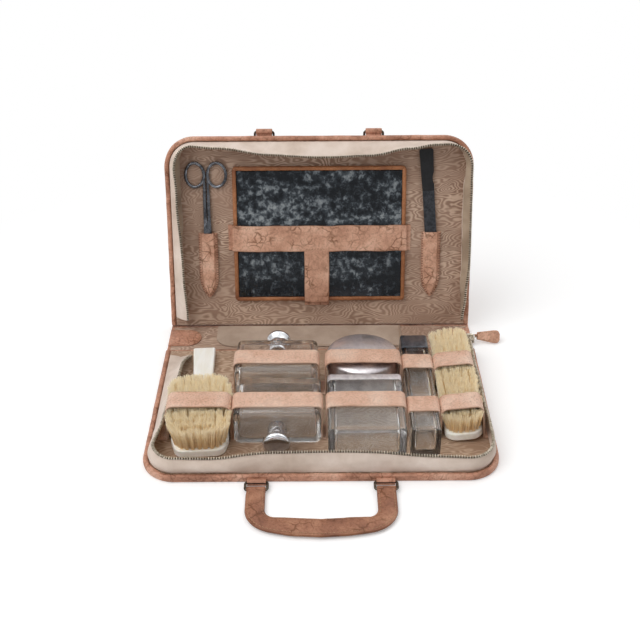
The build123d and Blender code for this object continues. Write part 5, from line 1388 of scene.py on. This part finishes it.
def soap_box():
    """Spun soap box: a bowl with a rounded foot, and a domed lid with a soft shoulder and a beaded lip."""
    place = moved(42.5, 51, ITEM_Z)
    radius, sheet, bend = 35.0, 1.0, 8.0
    bowl = [(0.4, 0.0)] + arc((radius - bend, bend), bend, -90, 0, 9) + [(radius, 27.6), (radius - 0.5, 28)]
    bowl += [(radius - sheet, 27.6)] + arc((radius - bend, bend), bend - sheet, 0, -90, 9) + [(0.4, sheet)]
    piece("soap_box_bowl_metal", [(spun(bowl, 96).placed(place), silver_plate)], "soap_bowl",
          ["soap_box_bowl"], crease=50)
    outer, edge, shoulder, top = 36.3, 17.0, 31.0, 37.2
    lid = list(reversed(cap_curve(outer - sheet, shoulder - sheet, top - sheet)))
    lid += [(outer - sheet, edge + 0.4), (outer - 0.5, edge), (outer + 0.25, edge + 0.3), (outer + 0.3, edge + 0.9),
            (outer, edge + 1.4), (outer, shoulder - 2.6)]
    dome = cap_curve(outer, shoulder, top)
    lid += [(outer - 0.25, shoulder - 1.3), (outer - 0.95, shoulder - 0.3)] + dome[1:]
    piece("soap_box_lid_metal", [(spun(lid, 96).placed(place), silver_plate)], "soap_lid",
          ["soap_box_lid"], crease=50)


soap_box()

# ---------------------------------------------------------------- bristles


def hair(root, tip, bend, thick, chance):
    """One tapering three-sided bristle that bends a little; it is twice as thick as a real one, to show."""
    rings = []
    for share in (0.0, 0.55, 1.0):
        spot = root.lerp(tip, share) + bend * math.sin(math.pi * share)
        radius = thick * (1 - 0.55 * share)
        rings.append([spot + Vector((radius * math.cos(a), radius * math.sin(a), 0)) for a in (0.5, 2.6, 4.7)])
    shade = chance.random()
    return swept(rings, along=[0.0] * 3 + [0.55] * 3 + [1.0] * 3, hair=[shade] * 9)


def bristle_bed(half_x, half_y, corner, columns, rows, height, tuft_hairs, spread, lean_x, lean_y, seed):
    """Tufts of bristle in rows, set in their plate with its corners kept round: the outer ones lean outwards."""
    chance = random.Random(seed)
    skins = []
    root_x, root_y = half_x - 1.8, half_y - 1.4
    for row in range(rows):
        for column in range(columns):
            across, along = 2 * column / (columns - 1) - 1, 2 * row / (rows - 1) - 1
            past_x = max(abs(across) * root_x - root_x + corner, 0)
            past_y = max(abs(along) * root_y - root_y + corner, 0)
            round_off = min(corner / max(math.hypot(past_x, past_y), 0.1), 1) - 1
            centre = Vector((across * root_x + math.copysign(past_x, across) * round_off,
                             along * root_y + math.copysign(past_y, along) * round_off, 0))
            lean = Vector((across * abs(across) * lean_x, along * abs(along) * lean_y, 0))
            lean += Vector((chance.gauss(0, 0.6), chance.gauss(0, 0.6), 0))
            low = 0.03 * lean.length_squared
            for _ in range(tuft_hairs):
                angle = chance.random() * 2 * math.pi
                reach = math.sqrt(chance.random())
                spoke = Vector((math.cos(angle), math.sin(angle), 0)) * reach
                root = centre + spoke * 2.7 + Vector((0, 0, 0.4))
                tip = centre + lean + spoke * spread + Vector((chance.gauss(0, 0.4), chance.gauss(0, 0.4), 0))
                tip.z = 1.0 + height - 0.7 * reach * reach - abs(chance.gauss(0, 0.7)) - low
                bend = Vector((chance.gauss(0, 0.3), chance.gauss(0, 0.3), 0)) - lean * 0.08
                skins.append(hair(root, tip, bend, 0.27 + 0.1 * chance.random(), chance))
    return joined(skins)


def brush(name, body, place, back_half_x, back_half_y, corner, plate_z, **bed):
    """The bristles of a brush, over the thin plate in which they are set."""
    half_x, half_y = back_half_x - 2.4, back_half_y - 2.4
    outline = rounded([(-half_x, -half_y, corner), (half_x, -half_y, corner), (half_x, half_y, corner),
                       (-half_x, half_y, corner)], closed=True, step=4)
    plate = soft_slab(outline, plate_z, plate_z + 1.0, 0.3).placed(place)
    hairs = bristle_bed(half_x, half_y, corner, **bed).placed(place @ moved(0, 0, plate_z))
    piece(name, [(hairs, bristle), (plate, celluloid)], body, [name.replace("_hairs", "_bristles")],
          crease=60)


HAIRBRUSH = moved(-114.5, -36, ITEM_Z) @ turned(3.5, "Z")
CLOTHES_BRUSH = moved(117.64, 18, ITEM_Z) @ turned(-6, "Y") @ moved(18, 0, 0)
brush("hairbrush_hairs", "hairbrush", HAIRBRUSH, 27.0, 40.0, 14.0, 8.0, columns=9, rows=12, height=28.3,
      tuft_hairs=74, spread=3.6, lean_x=4.6, lean_y=7.0, seed=51)
brush("clothes_brush_hairs", "clothes_brush", CLOTHES_BRUSH, 18.0, 74.0, 9.2, 8.5, columns=6, rows=23, height=22.3,
      tuft_hairs=60, spread=3.4, lean_x=3.2, lean_y=5.0, seed=52)


# ---------------------------------------------------------------- pieces kept from the frame


def dress(node, finish):
    """Gives a kept piece its finish, on the object and not on its mesh."""
    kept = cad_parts[node]
    if not kept.material_slots:
        kept.data.materials.append(None)
    for place in kept.material_slots:
        place.link = "OBJECT"
        place.material = finish


for node, finish in {
    "base_board": pasteboard, "lid_board": pasteboard,
    "front_rings": ring_steel, "rear_rings": ring_steel,
    "zip_slider": zip_brass, "zip_pull_link": zip_brass,
    "mirror_glass": mirror_silver,
    "scissors_screw": tool_steel, "nail_file_blade": file_steel, "nail_file_grip": ebonite,
    "front_cap_liner": cork, "rear_cap_liner": cork,
    "hairbrush_back": celluloid, "clothes_brush_back": celluloid,
}.items():
    dress(node, finish)

# ---------------------------------------------------------------- floor, light and camera


def floor():
    """A plain pale floor that fades to the white background and keeps the object's shadow."""
    made, tree = new_finish("pale_floor")
    seen = add(tree, "LightPath").outputs
    matt = add(tree, "BsdfDiffuse", {"Color": colour("#f4f4f4")}).outputs[0]
    glow = add(tree, "Emission", {"Color": colour("#ffffff"), "Strength": 0.2}).outputs[0]
    both = add(tree, "AddShader", {0: matt, 1: glow}).outputs[0]
    white = add(tree, "Emission", {"Color": colour("#ffffff"), "Strength": 1.0}).outputs[0]
    away = add(tree, "VectorMath", {0: add(tree, "TexCoord").outputs["Object"]}, operation="LENGTH").outputs["Value"]
    fade = add(tree, "MapRange", {"Value": away, "From Min": 0.28, "From Max": 0.6}).outputs[0]
    faded = add(tree, "MixShader", {0: fade, 1: both, 2: white}).outputs[0]
    mixed = add(tree, "MixShader", {0: seen["Is Camera Ray"], 1: matt, 2: faded}).outputs[0]
    add(tree, "OutputMaterial", {"Surface": mixed})
    mesh = bpy.data.meshes.new("floor")
    reach = 6.0
    mesh.from_pydata([(-reach, -reach, -0.0002), (reach, -reach, -0.0002), (reach, reach, -0.0002),
                      (-reach, reach, -0.0002)], [], [(0, 1, 2, 3)])
    mesh.materials.append(made)
    ground = bpy.data.objects.new("floor", mesh)
    bpy.context.scene.collection.objects.link(ground)


def daylight():
    """A white room, dark behind the viewer as metal and glass mirror it, and at a plain even level on the object."""
    world = bpy.data.worlds.new("white_room")
    world.use_nodes = True
    tree = world.node_tree
    tree.nodes.clear()
    seen = add(tree, "LightPath").outputs
    direct = add(tree, "Math", {0: seen["Is Camera Ray"], 1: seen["Is Transmission Ray"]},
                 operation="MAXIMUM").outputs[0]
    soft = add(tree, "Background", {"Color": colour("#ffffff"), "Strength": 0.55}).outputs[0]
    way = add(tree, "SeparateXYZ", {0: add(tree, "TexCoord").outputs["Generated"]}).outputs
    height = add(tree, "Math", {0: way["Y"], 1: 0.55, 2: way["Z"]}, operation="MULTIPLY_ADD").outputs[0]
    level = add(tree, "MapRange", {"Value": height, "From Min": -0.2, "From Max": 0.75, "To Min": 0.3,
                                   "To Max": 1.25}).outputs[0]
    shine = add(tree, "Background", {"Color": colour("#ffffff"), "Strength": level}).outputs[0]
    white = add(tree, "Background", {"Color": colour("#ffffff"), "Strength": 1.0}).outputs[0]
    metal = add(tree, "MixShader", {0: seen["Is Glossy Ray"], 1: soft, 2: shine}).outputs[0]
    mixed = add(tree, "MixShader", {0: direct, 1: metal, 2: white}).outputs[0]
    add(tree, "OutputWorld", {"Surface": mixed})
    bpy.context.scene.world = world


def softbox(name, spot, aim, size, power):
    """A large square lamp."""
    lamp = bpy.data.lights.new(name, "AREA")
    lamp.shape = "SQUARE"
    lamp.size = size
    lamp.energy = power
    made = bpy.data.objects.new(name, lamp)
    made.location = spot
    made.rotation_mode = "QUATERNION"
    made.rotation_quaternion = (Vector(aim) - Vector(spot)).to_track_quat("-Z", "Y")
    bpy.context.scene.collection.objects.link(made)


def photo_camera():
    """The photograph's point of view, from its fitted place, tilt and roll."""
    elevation, azimuth, roll_angle, focal = 31.820, -0.040, -0.337, 59.715
    lens = bpy.data.cameras.new("camera")
    lens.lens = focal
    lens.sensor_width = 36.0
    lens.clip_start, lens.clip_end = 0.01, 30
    made = bpy.data.objects.new("camera", lens)
    place = Vector((-0.752, -843.888, 631.529)) * MM
    made.matrix_world = (Matrix.Translation(place) @ turned(azimuth, "Z") @ turned(90 - elevation, "X")
                         @ turned(roll_angle, "Z"))
    bpy.context.scene.collection.objects.link(made)
    bpy.context.scene.camera = made


floor()
daylight()
softbox("window_light", (-0.9, -0.5, 1.6), (0, 0.05, 0.03), 1.5, 18)
softbox("far_light", (0.9, 1.0, 1.5), (0, 0.1, 0.05), 1.2, 6)
photo_camera()
bpy.context.scene.view_settings.view_transform = "Standard"
